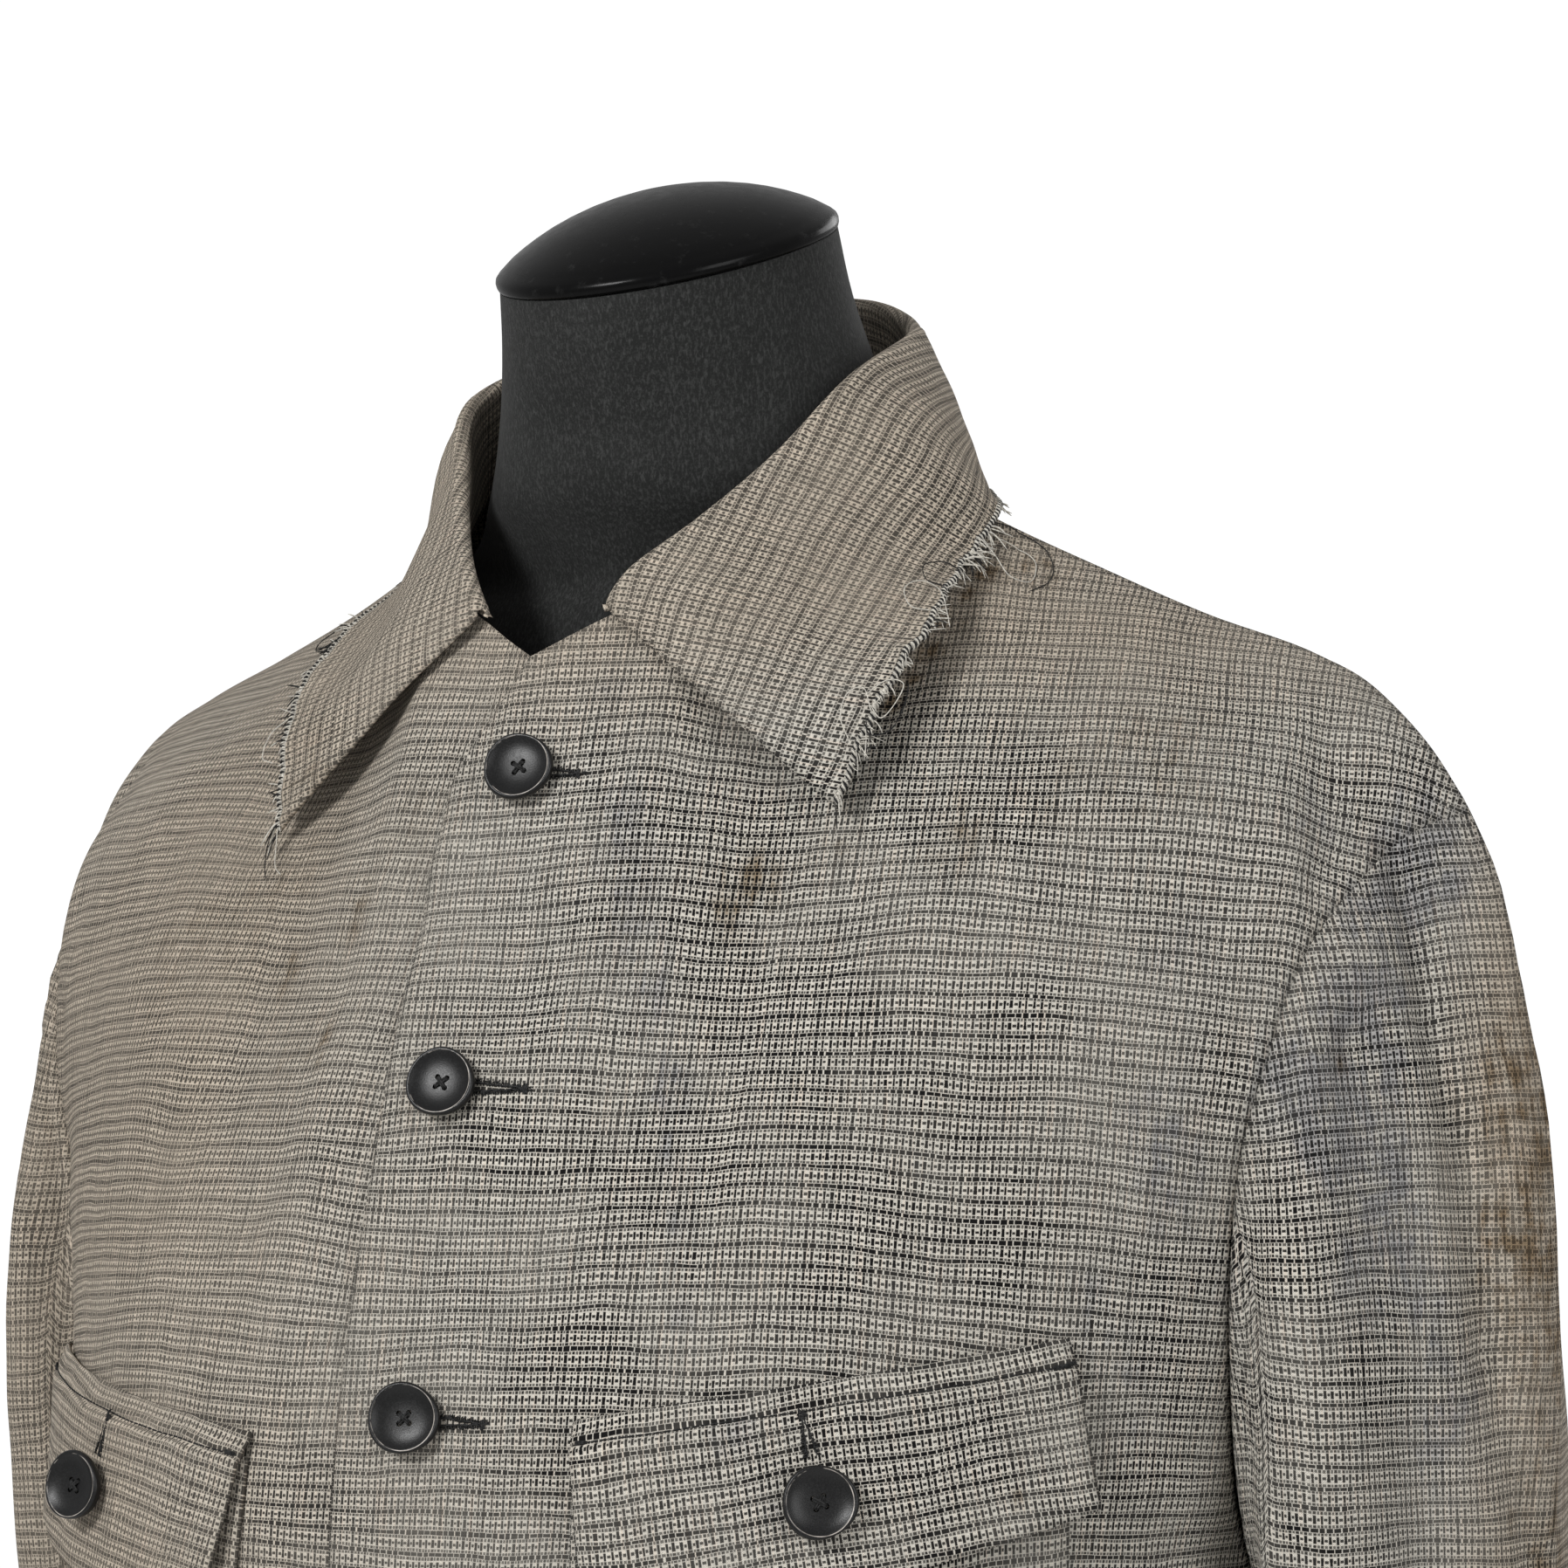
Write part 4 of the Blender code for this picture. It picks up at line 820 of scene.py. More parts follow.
def linked(name: str, data: bpy.types.ID) -> bpy.types.Object:
    """A new object in the scene."""
    thing = bpy.data.objects.new(name, data)
    bpy.context.scene.collection.objects.link(thing)
    return thing


def add_piece(name: str, shape: BMesh, finish: Material) -> bpy.types.Object:
    """Turns a bmesh into a smooth shaded object with one material."""
    mesh = bpy.data.meshes.new(name)
    shape.to_mesh(mesh)
    shape.free()
    mesh.materials.append(finish)
    mesh.shade_smooth()
    return linked(name, mesh)


def spun(profile: Sequence[tuple[float, float]], sides: int, scale: float = 1.0) -> BMesh:
    """A shape spun round Z from a profile of radius and height."""
    shape = bmesh.new()
    verts = [shape.verts.new((radius * scale, 0, height * scale)) for radius, height in profile]
    edges = [shape.edges.new(pair) for pair in zip(verts, verts[1:])]
    bmesh.ops.spin(shape, geom=verts + edges, cent=(0, 0, 0), axis=(0, 0, 1), angle=2 * math.pi, steps=sides,
                   use_merge=True)
    return shape


def wrapped_grid(shape: BMesh, points: Array) -> None:
    """Adds a grid of faces to a bmesh and moves its vertices onto points in metres, rows by columns."""
    rows, columns = points.shape[:2]
    made = bmesh.ops.create_grid(shape, x_segments=columns - 1, y_segments=rows - 1, size=0.5)
    for vert in made["verts"]:
        i, j = round((vert.co.x + 0.5) * (columns - 1)), round((vert.co.y + 0.5) * (rows - 1))
        vert.co = points[j, i]


def close_up(shape: BMesh) -> None:
    """Merges doubles, clears what collapsed and points every face outwards."""
    bmesh.ops.remove_doubles(shape, verts=shape.verts, dist=MERGE)
    bmesh.ops.dissolve_degenerate(shape, edges=shape.edges, dist=MERGE / 10)
    bmesh.ops.recalc_face_normals(shape, faces=shape.faces)


def marks(points: Array, spots: Array) -> Array:
    """How strongly each point is marked by soft upright spots, from 0 to about 1."""
    total = np.zeros(points.shape[:-1])
    for spot in spots:
        away = np.linalg.norm((points - spot[:3]) * np.array([1.25, 1.25, 0.8]), axis=-1) / spot[3]
        total += spot[4] * np.exp(-away * away)
    return total


def worn_side(points: Array) -> Array:
    """How much of the darker, browner tone each point takes: most on the wearer's right, the sleeve's outer
    side and the shoulders.
    """
    right, outer = smooth((60 - points[:, 0]) / 190), smooth((points[:, 0] - 232) / 22)
    return right + outer + 0.75 * smooth((points[:, 2] + 36) / 50)


@dataclass
class Tailor:
    """Makes cloth pieces: shells with a flat cut as their UV map and marks as attributes."""

    finish: Material
    shell: float = 1.3

    def sew(self, name: str, cloth: ClothGrid, around: bool = False) -> bpy.types.Object:
        """A shell of cloth on a grid of points.

        Args:
            name: The piece's name.
            cloth: Its points, normals and cut.
            around: True if its first and last columns are one seam.

        Returns:
            The new object.
        """
        rows, columns = cloth.points.shape[:2]
        shape = bmesh.new()
        bmesh.ops.create_grid(shape, x_segments=columns - 1, y_segments=rows - 1, size=0.5)
        piece = add_piece(name, shape, self.finish)
        mesh = piece.data
        place = np.zeros(len(mesh.vertices) * 3)
        mesh.vertices.foreach_get("co", place)
        i, j = (np.rint((place[axis::3] + 0.5) * (count - 1)).astype(int)
                for axis, count in ((0, columns), (1, rows)))
        points = cloth.points[j, i]
        mesh.vertices.foreach_set("co", to_world(points).ravel())
        corner = np.zeros(len(mesh.loops), int)
        mesh.loops.foreach_get("vertex_index", corner)
        cut = mesh.uv_layers.new(name="Cut")
        cut.data.foreach_set("uv", (cloth.cut[j, i][corner] * MM).ravel())
        # the brown marks hold stains and a few spots of painted shade; the blue ones are stains
        for tint, value in ((Tint.BROWN, marks(points, BROWN_STAINS_AND_SHADE_SPOTS)), (Tint.BLUE, marks(points, BLUE_SPOTS)),
                            (Tint.SIDE, worn_side(points))):
            layer = mesh.attributes.new(tint.value, "FLOAT", "POINT")
            layer.data.foreach_set("value", np.clip(value, 0, 1))
        if around:
            shape = bmesh.new()
            shape.from_mesh(mesh)
            bmesh.ops.remove_doubles(shape, verts=shape.verts, dist=MERGE)
            shape.to_mesh(mesh)
            shape.free()
            mesh.shade_smooth()
        wall = piece.modifiers.new("wall", "SOLIDIFY")
        wall.thickness = self.shell * MM
        wall.offset = -1.0
        return piece


def creased(cloth: ClothGrid, seed: int, hold: Array | float = 1.0) -> ClothGrid:
    """The same cloth with the listed creases and slight uneven waves.

    Args:
        cloth: The cloth.
        seed: Which waves it takes.
        hold: How much of them each point takes, so that seams and edges stay put.

    Returns:
        The creased cloth.
    """
    lift = sum(ridge(cloth.points, creases, 3) for creases in (CREASES, CREASE_KIN, FAR_CREASES))
    lift += 0.40 * ripple(cloth.cut, 60, seed) + 0.14 * ripple(cloth.cut, 19, seed + 1)
    return cloth.lifted(lift * hold)


@dataclass
class JacketBody:
    """The fronts, the back and the sleeves."""

    form: JacketForm
    tailor: Tailor
    seam_depth: float = 0.45
    armhole_depth: float = 1.3
    deep_from: float = -268.0
    deep_to: float = -105.0
    seam_reach: float = 5.0
    shoulder_depth: float = 0.2
    edge_depth: float = 0.9
    edge_reach: float = 2.4
    edge_stand: float = 0.7
    ease_depth: float = 0.55
    ease_pitch: float = 9.0
    ease_reach: float = 16.0

    def shared_ways(self, front: ClothGrid, back: ClothGrid, sleeve: ClothGrid) -> dict[str, Array]:
        """The outward ways along the seams, each the mean of the two pieces that meet there."""
        low, skip = self.form.low_rows, self.form.lap_columns + self.form.neck_columns
        hole = np.concatenate([front.out[low:, -1], back.out[low:-1, 0][::-1]])
        hole = unit(hole + sleeve.out[-1])
        tall = self.form.high_rows + 1
        side = unit(front.out[:low, -1] + back.out[:low, 0])
        shoulder = unit(front.out[-1, skip:] + back.out[-1, ::-1][self.form.neck_columns:])
        return {
            "hole": hole,
            "front side": np.concatenate([side, hole[:tall]]),
            "back side": np.concatenate([side, hole[tall:][::-1], hole[tall - 1:tall]]),
            "front top": np.concatenate([front.out[-1, :skip], shoulder]),
            "back top": np.concatenate([back.out[-1, ::-1][:self.form.neck_columns], shoulder])[::-1]}

    def depths(self, line: Array) -> Array:
        """How deep the seam sinks at each of its points: deepest at the armhole's lower half."""
        height = line[:, 2]
        deep = smooth((self.deep_to - height) / 60) * smooth((height - self.deep_from) / 30)
        return self.seam_depth + self.armhole_depth * deep

    def seamed(self, cloth: ClothGrid, edge: Edge, ways: Array, top: Array) -> ClothGrid:
        """Sinks a body piece along its side seam and armhole and its shoulder seam, and rolls its hem."""
        deep = self.shoulder_depth * smooth(cloth.edge_distance(edge)[-1] / 12)
        line = cloth.points[:, -1 if edge is Edge.END else 0]
        cloth = cloth.turned_edge(edge, self.depths(line), self.seam_reach, ways)
        cloth = cloth.turned_edge(Edge.TOP, deep, self.seam_reach, top)
        return cloth.turned_edge(Edge.FOOT, self.edge_depth, self.edge_reach)

    def build(self) -> ClothGrid:
        """Makes the five pieces.

        Returns:
            The upper front's cloth, for what lies on it.
        """
        front, back = self.form.panel(back=False), self.form.panel(back=True)
        low = self.form.low_rows
        edge = np.concatenate([front.points[low:, -1], back.points[low:-1, 0][::-1]])
        sleeve = SleeveForm().build(edge)
        ways = self.shared_ways(front, back, sleeve)
        hold = smooth(front.edge_distance(Edge.END) / 14) * smooth(front.edge_distance(Edge.TOP) / 20)
        stand = self.edge_stand * np.exp(-(front.edge_distance(Edge.START) / 9) ** 2)
        upper = creased(front, 3, hold).lifted(stand * smooth(front.edge_distance(Edge.TOP) / 30))
        under = self.form.sink(creased(front, 9, hold))
        made = []
        for cloth in (upper, under):
            cloth = self.seamed(cloth, Edge.END, ways["front side"], ways["front top"])
            made.append(cloth.turned_edge(Edge.START, self.edge_depth, self.edge_reach))
        for name, cloth in (("front_left", made[0]), ("front_right", made[1].mirrored())):
            piece = dress(self.tailor.sew(name + "_cloth", cloth), "woven_cloth", [name])
            cloth.size()
            cloth.area()
        hold = smooth(back.edge_distance(Edge.START) / 14) * smooth(back.edge_distance(Edge.TOP) / 20)
        half = self.seamed(creased(back, 5, hold), Edge.START, ways["back side"], ways["back top"])
        other = half.mirrored()
        whole = ClothGrid(*(np.concatenate([a[:, :-1], b], axis=1) for a, b in (
            (half.points, other.points), (half.out, other.out), (half.cut, other.cut))))
        piece = dress(self.tailor.sew("back_cloth", whole), "woven_cloth", ["back"])
        whole.size()
        whole.area()
        self.sleeves(sleeve, ways["hole"])
        return made[0]

    def sleeves(self, sleeve: ClothGrid, ways: Array) -> None:
        """Makes both sleeves, with the small puckers where their heads are eased in.

        Args:
            sleeve: The left sleeve.
            ways: The outward ways round its armhole seam.
        """
        hold = smooth(sleeve.edge_distance(Edge.TOP) / 14) * smooth(sleeve.edge_distance(Edge.START) / 10)
        hold = hold * smooth(sleeve.edge_distance(Edge.END) / 10)
        for side, seed in ((Side.LEFT, 21), (Side.RIGHT, 33)):
            left = side is Side.LEFT
            cloth = creased(sleeve if left else sleeve.mirrored(), seed, hold if left else hold[:, ::-1])
            along = run_length(cloth.points[-1])
            near = cloth.edge_distance(Edge.TOP)
            wave = np.sin(2 * math.pi * (along / self.ease_pitch + 0.35 * np.sin(along / 23.0)))
            swell = np.exp(-((near - 8) / self.ease_reach) ** 2) * smooth(near / 5)
            cloth = cloth.lifted(self.ease_depth * wave[None] * swell)
            turned = ways if left else (ways * MIRROR)[::-1]
            cloth = cloth.turned_edge(Edge.TOP, self.depths(cloth.points[-1]), self.seam_reach, turned)
            cloth = cloth.turned_edge(Edge.FOOT, self.edge_depth, self.edge_reach)
            name = "sleeve_" + side.name.lower()
            piece = dress(self.tailor.sew(name + "_cloth", cloth, around=True), "woven_cloth", [name])
            cloth.size()
            cloth.area()


@dataclass
class Collar:
    """The pointed collar with its worn outer edge, which stands off the chest between point and shoulder."""

    form: JacketForm
    tailor: Tailor
    wave: float = 0.7
    stand: float = 9.0
    stand_rows: int = 15
    stand_at: float = 58.0
    stand_width: float = 34.0
    ragged: float = 0.8

    def build(self) -> ClothGrid:
        """Makes the collar and returns its cloth."""
        shape = CollarForm()
        cloth = shape.build(self.form)
        rows = np.arange(len(cloth.points))
        fall = smooth((shape.fall_steps - rows) / 8)[:, None]
        wave = ripple(cloth.cut, 38, 71) * fall + 0.8 * ripple(cloth.cut, 19, 72) * np.exp(-rows / 6)[:, None]
        from_point = abs(cloth.cut[0, 0, 0]) - np.abs(cloth.cut[0, :, 0])
        gap = self.stand * np.clip(1 - rows / self.stand_rows, 0, 1)[:, None] ** 2
        gap = gap * np.exp(-((from_point - self.stand_at) / self.stand_width) ** 2)
        cloth = cloth.lifted(np.maximum(self.wave * wave, -0.55) + gap)
        down = unit(cloth.points[:1] - cloth.points[4:5])
        along = np.stack([cloth.cut[0, :, 0], np.zeros(cloth.cut.shape[1])], -1)
        bite = self.ragged * (ripple(along, 9, 75) + 0.7 * ripple(along, 4.5, 76) - 0.4)
        points = cloth.points + down * (bite[None] * np.exp(-(rows / 2.0) ** 2)[:, None])[..., None]
        cloth = ClothGrid(points, grid_normals(points), cloth.cut)
        cloth = cloth.turned_edge(Edge.START, 0.9, 2.6).turned_edge(Edge.END, 0.9, 2.6)
        piece = dress(self.tailor.sew("collar_cloth", cloth), "woven_cloth", ["collar"])
        cloth.size()
        return cloth


@dataclass
class ChestPockets:
    """A patch pocket under a pointed flap on each side of the chest."""

    chart: ChestChart
    tailor: Tailor
    width: float = 135.0
    side_drop: float = 43.5
    point_drop: float = 52.5
    bow: float = 1.6
    pocket_width: float = 133.0
    pocket_depth: float = 165.0
    pocket_drop: float = 7.0
    cloth: float = 1.6
    lay: float = 0.9
    band: float = 6.6
    flap_rows: Array = field(
        default_factory=lambda: np.append(np.linspace(1, 0.26, 20), np.linspace(0.245, 0, 22)))
    flaps: dict[Side, ClothGrid] = field(default_factory=dict)
    hang: tuple[float, float, float] = (0.0, 0.0, 0.0)

    def drop(self, a: Array) -> Array:
        """The flap's depth at a share of its width."""
        return self.side_drop + (self.point_drop - self.side_drop) * (1 - np.abs(2 * a - 1) ** self.bow)

    def flap_place(self, a: Array, b: Array) -> tuple[Array, Array, Array]:
        """Distance across, height and lift on the flap. b runs from the top edge down."""
        depth = self.drop(a)
        inner, top, slant = self.hang
        across = inner + self.width * a * math.cos(slant) + depth * b * math.sin(slant)
        height = top + self.width * a * math.sin(slant) - depth * b * math.cos(slant)
        over = smooth((b - 0.04) / 0.16)
        stand = (2.2 + 1.5 * (1 - a) ** 2) * b * b + 2.4 * smooth((a - 0.6) / 0.4) * b ** 3
        return across, height, self.lay + self.cloth + over * (self.cloth + 2 * self.lay) + stand

    def pocket_place(self, a: Array, b: Array) -> tuple[Array, Array, Array]:
        """Distance across, height and lift on the patch pocket."""
        inner, top, slant = self.hang
        across = inner + 1 + self.pocket_width * a + 3.0 * b
        height = top - self.pocket_drop - self.pocket_depth * b
        height = height + self.pocket_width * a * (1 - b) * math.sin(slant)
        swell = 1.2 * np.sin(math.pi * a) * np.sin(math.pi * b) ** 0.7
        return across, height, self.lay + self.cloth + swell * smooth((b - 0.3) / 0.3)

    def spot(self, side: Side, a: float, b: float, lift: float = 0.0) -> tuple[Array, Array]:
        """A place on a finished flap and the way out of it.

        Args:
            side: Which flap.
            a: The share of its width.
            b: The share of its depth.
            lift: How far the place lies off the cloth.

        Returns:
            The place and the outward normal.
        """
        cloth = self.flaps[side]
        row = np.interp(b, self.flap_rows[::-1], np.arange(len(self.flap_rows))[::-1])
        point, out = (between(values, row, a * (values.shape[1] - 1)) for values in (cloth.points, cloth.out))
        turn = np.array([side.value, 1, 1])
        return (point + unit(out) * lift) * turn, unit(out) * turn

    def lay_cloth(self, place: Callable[[Array, Array], tuple[Array, Array, Array]], a: Array, b: Array,
                  cut: Array) -> ClothGrid:
        """A piece of cloth laid on the front: rows from the foot up, columns from the inner side out."""
        across, height, lift = place(a, b)
        points, out = self.chart.find(across, height)
        points = points + out * lift[..., None]
        return ClothGrid(points, grid_normals(points), cut)

    def flap(self, seed: int) -> ClothGrid:
        """The flap, with its top band raised over a sunk line of stitching."""
        a, b = np.meshgrid(np.linspace(0, 1, 66), self.flap_rows)
        down = b * self.drop(a)
        cut = np.stack([self.width * a, -down + 0.9 * ripple(np.stack([a * 135, down], -1), 90, seed)], -1)
        cloth = self.lay_cloth(self.flap_place, a, b, cut)
        groove = np.exp(-((down - self.band) / 1.1) ** 2)
        band = smooth((self.band + 1 - down) / 2.0)
        wave = 0.25 * ripple(cut, 30, seed + 4) * smooth(down / 12)
        wave += 0.5 * ripple(cut, 22, seed + 5) * b ** 4
        cloth = cloth.lifted(0.5 * band - 0.8 * groove + np.maximum(wave, -0.6))
        for edge in (Edge.START, Edge.END, Edge.FOOT, Edge.TOP):
            cloth = cloth.turned_edge(edge, 0.8, 2.2)
        return cloth

    def pocket(self, seed: int) -> ClothGrid:
        """The patch under the flap."""
        a, b = np.meshgrid(np.linspace(0, 1, 56), np.linspace(1, 0, 66))
        cut = np.stack([self.pocket_width * a, -self.pocket_depth * b], -1)
        cloth = self.lay_cloth(self.pocket_place, a, b, cut)
        edge = np.minimum(np.minimum(a, 1 - a) * self.pocket_width, (1 - b) * self.pocket_depth)
        groove = np.exp(-((edge - 2.2) / 0.9) ** 2)
        cloth = cloth.lifted(0.3 * ripple(cut, 34, seed) * smooth(edge / 16) - 0.35 * groove)
        for way in (Edge.START, Edge.END, Edge.FOOT):
            cloth = cloth.turned_edge(way, 0.8, 1.8)
        return cloth

    def build(self) -> None:
        """Makes a pocket and a flap on each side."""
        for side, seed in ((Side.LEFT, 51), (Side.RIGHT, 61)):
            self.hang = FLAP_PLACES[side]
            pocket, flap = self.pocket(seed), self.flap(seed + 2)
            self.flaps[side] = flap
            if side is Side.RIGHT:
                pocket, flap = pocket.mirrored(), flap.mirrored()
            way = side.name.lower()
            piece = dress(self.tailor.sew(f"pocket_{way}_cloth", pocket), "woven_cloth", [f"pocket_{way}"])
            pocket.size()
            pocket.area()
            piece = dress(self.tailor.sew(f"flap_{way}_cloth", flap), "woven_cloth", [f"flap_{way}"])
            flap.size()
            flap.area()


class Graph:
    """Adds shader nodes to one new material and joins them."""

    def __init__(self, name: str) -> None:
        """Starts a material with its Principled shader."""
        self.material = bpy.data.materials.new(name)
        self.material.use_nodes = True
        self.tree = self.material.node_tree
        self.shader = self.tree.nodes["Principled BSDF"]

    def feed(self, socket: Socket, value: Any) -> None:
        """Joins a socket to another, or sets it."""
        if isinstance(value, Socket):
            self.tree.links.new(value, socket)
        elif isinstance(value, tuple) and len(value) == 3 and socket.type == "RGBA":
            socket.default_value = (*value, 1.0)
        else:
            socket.default_value = value

    def node(self, kind: str, inputs: dict[Any, Any], **settings: Any) -> bpy.types.Node:
        """Adds a node with its settings and inputs."""
        made = self.tree.nodes.new(kind)
        for key, value in settings.items():
            setattr(made, key, value)
        for key, value in inputs.items():
            self.feed(made.inputs[key], value)
        return made

    def math(self, operation: str, first: Any, second: Any = 0.0) -> Socket:
        """The result of a Math node."""
        return self.node("ShaderNodeMath", {0: first, 1: second}, operation=operation).outputs[0]

    def sum(self, *values: Any) -> Socket:
        """The sum of several values."""
        return reduce(lambda total, value: self.math("ADD", total, value), values)

    def times(self, *values: Any) -> Socket:
        """The product of several values."""
        return reduce(lambda total, value: self.math("MULTIPLY", total, value), values)

    def step(self, value: Any, low: float, high: float, start: float = 0.0, end: float = 1.0,
             kind: str = "SMOOTHSTEP") -> Socket:
        """A value moved from one range to another, along a smooth step if nothing else is said."""
        spans = {"Value": value, "From Min": low, "From Max": high, "To Min": start, "To Max": end}
        return self.node("ShaderNodeMapRange", spans, interpolation_type=kind, clamp=True).outputs["Result"]

    def scale(self, value: Any, low: float, high: float, start: float = 0.0, end: float = 1.0) -> Socket:
        """A value moved linearly from one range to another."""
        return self.step(value, low, high, start, end, "LINEAR")

    def sway(self, noise: Any, by: float) -> Socket:
        """Noise spread over a range of so much either way."""
        return self.scale(noise, 0.3, 0.7, -by, by)

    def within(self, value: Any, half: Any, soft: float = 0.03) -> Socket:
        """1 where a value's size is under half a width, with soft edges."""
        gap = self.math("SUBTRACT", half, self.math("ABSOLUTE", value))
        return self.step(gap, -soft, soft)

    def vector(self, x: Any, y: Any, z: Any = 0.0) -> Socket:
        """A vector of three values."""
        return self.node("ShaderNodeCombineXYZ", {0: x, 1: y, 2: z}).outputs[0]

    def noise(self, where: Any, scale: float, detail: float = 2.0, roughness: float = 0.5) -> Socket:
        """Noise of about 0.3 to 0.7."""
        inputs = {"Vector": where, "Scale": scale, "Detail": detail, "Roughness": roughness}
        return self.node("ShaderNodeTexNoise", inputs).outputs["Fac"]

    def drawn(self, across: Any, up: Any, fine: float, high: float, detail: float = 1.0,
              roughness: float = 0.5) -> Socket:
        """Noise of one fineness across the cut and another up it."""
        return self.noise(self.vector(self.times(across, fine), self.times(up, high)), 1.0, detail, roughness)

    def mix(self, share: Any, first: Any, second: Any, blend: str = "MIX") -> Socket:
        """A colour between two."""
        made = self.node("ShaderNodeMix", {"Factor": share}, data_type="RGBA", blend_type=blend)
        self.feed(made.inputs[6], first)
        self.feed(made.inputs[7], second)
        return made.outputs[2]

    def attribute(self, name: str) -> Socket:
        """A piece's own number at each point."""
        return self.node("ShaderNodeAttribute", {}, attribute_name=name).outputs["Fac"]

    def object_place(self) -> Socket:
        """The place on the piece, in metres."""
        return self.node("ShaderNodeTexCoord", {}).outputs["Object"]

    def bump(self, height: Any, distance: float, strength: float = 1.0) -> None:
        """Gives the shader fine relief."""
        made = self.node("ShaderNodeBump", {"Height": height, "Distance": distance, "Strength": strength})
        self.feed(self.shader.inputs["Normal"], made.outputs["Normal"])

    def finish(self, **inputs: Any) -> Material:
        """Sets the shader's inputs, with spaces for underscores, and returns the material."""
        for key, value in inputs.items():
            self.feed(self.shader.inputs[key.replace("_", " ")], value)
        return self.material


@dataclass(frozen=True)
class WovenCloth:
    """Plain woven cloth with dashed dark weft lines and short dark warp bars, marked with stains, a browner
    tone on some sides and a few spots of painted shade.
    """

    bar_pitch: float = 1.98
    line_pitch: float = 5.42
    near_ground: Colour = (0.60, 0.57, 0.505)
    far_ground: Colour = (0.51, 0.445, 0.36)
    warm_yarn: Colour = (0.58, 0.47, 0.375)
    dark: Colour = (0.007, 0.0065, 0.0065)
    brown: Colour = (0.46, 0.385, 0.30)
    blue: Colour = (0.65, 0.67, 0.74)

    def pattern(self, g: Graph, rise: Socket, run: Socket) -> Socket:
        """The dark yarn: dashes on each weft line, and bars, dots and ticks between the lines.

        Args:
            g: The material's nodes.
            rise: The height in the cut, counted in weft lines.
            run: The place across the cut, counted in warp bars.

        Returns:
            0 on the ground, 1 on the dark yarn.
        """
        line, bar = g.math("ROUND", rise), g.math("ROUND", run)
        off_line, off_bar = g.math("SUBTRACT", rise, line), g.math("SUBTRACT", run, bar)
        mid, beside = (g.math("SUBTRACT", 0.5, g.math("ABSOLUTE", off)) for off in (off_line, off_bar))
        dice = g.node("ShaderNodeTexWhiteNoise", {"Vector": g.vector(bar, line)}, noise_dimensions="2D")
        chance = dice.outputs["Value"]
        dash = g.times(g.within(off_line, g.scale(chance, 0, 1, 0.085, 0.113), 0.020),
                       g.within(off_bar, g.scale(chance, 0, 1, 0.48, 0.38), 0.05))
        tall = g.times(g.within(mid, g.scale(chance, 0, 1, 0.17, 0.225), 0.025),
                       g.within(off_bar, g.scale(chance, 0, 1, 0.22, 0.165), 0.05))
        columns = g.math("MAXIMUM", g.within(off_bar, 0.20, 0.05),
                         g.times(g.within(beside, 0.18, 0.05), 0.85))
        dots = g.times(g.within(g.math("SUBTRACT", mid, 0.31), 0.070, 0.022), columns, 0.95)
        tick = g.times(g.within(mid, 0.070, 0.02), g.within(beside, 0.20, 0.05), 0.95)
        return g.math("MINIMUM", g.sum(dash, tall, dots, tick), 1.0)

    def build(self) -> Material:
        """Makes the material. It reads the piece's cut in metres and its marks."""
        g = Graph("woven_cloth")
        cut = g.node("ShaderNodeUVMap", {}, uv_map="Cut").outputs["UV"]
        across, up = g.node("ShaderNodeSeparateXYZ", {0: cut}).outputs[:2]
        place, side = g.object_place(), g.attribute(Tint.SIDE.value)
        rise = g.sum(g.times(up, 1000 / self.line_pitch), g.sway(g.noise(cut, 16.0, 1.0), 0.28),
                     g.sway(g.drawn(across, up, 60.0, 190.0, 2.0), 0.06))
        run = g.sum(g.times(across, 1000 / self.bar_pitch), g.sway(g.drawn(across, up, 470.0, 40.0), 0.13))
        pattern = self.pattern(g, rise, run)
        weft_yarn, warp_yarn = g.drawn(across, up, 45.0, 2100.0), g.drawn(across, up, 2100.0, 45.0)
        checks = g.times(g.math("SINE", g.times(run, 8 * math.pi)),
                         g.math("SINE", g.times(rise, 20 * math.pi)))
        yarn = g.sum(g.sway(weft_yarn, 0.12), g.sway(warp_yarn, 0.12), g.times(checks, 0.13))
        blotch = g.noise(place, 22.0, 3.0, 0.6)
        # the ground turns darker and browner towards the wearer's right, the sleeve's outer side and the
        # shoulders
        side_share = g.math("MAXIMUM", g.sum(side, g.sway(g.noise(place, 6.0), 0.3)), 0.0)
        ground = g.mix(g.math("MINIMUM", side_share, 1.0), self.near_ground, self.far_ground)
        ground = g.mix(g.step(warp_yarn, 0.52, 0.66, 0.0, 0.4), ground, self.warm_yarn)
        tone = g.sum(1.0, yarn, g.sway(blotch, 0.09))
        ground = g.mix(1.0, ground, g.vector(tone, tone, tone), "MULTIPLY")
        weight = g.sum(0.98, g.scale(blotch, 0.35, 0.65, -0.14, 0.06), g.times(side, -0.16))
        colour = g.mix(g.times(pattern, weight), ground, self.dark)
        mark_breakup = g.scale(g.noise(place, 130.0, 3.0, 0.65), 0.33, 0.62, 0.2, 1.3)
        streaks = g.scale(g.drawn(across, up, 330.0, 60.0, 3.0, 0.6), 0.33, 0.62, 0.35, 1.3)
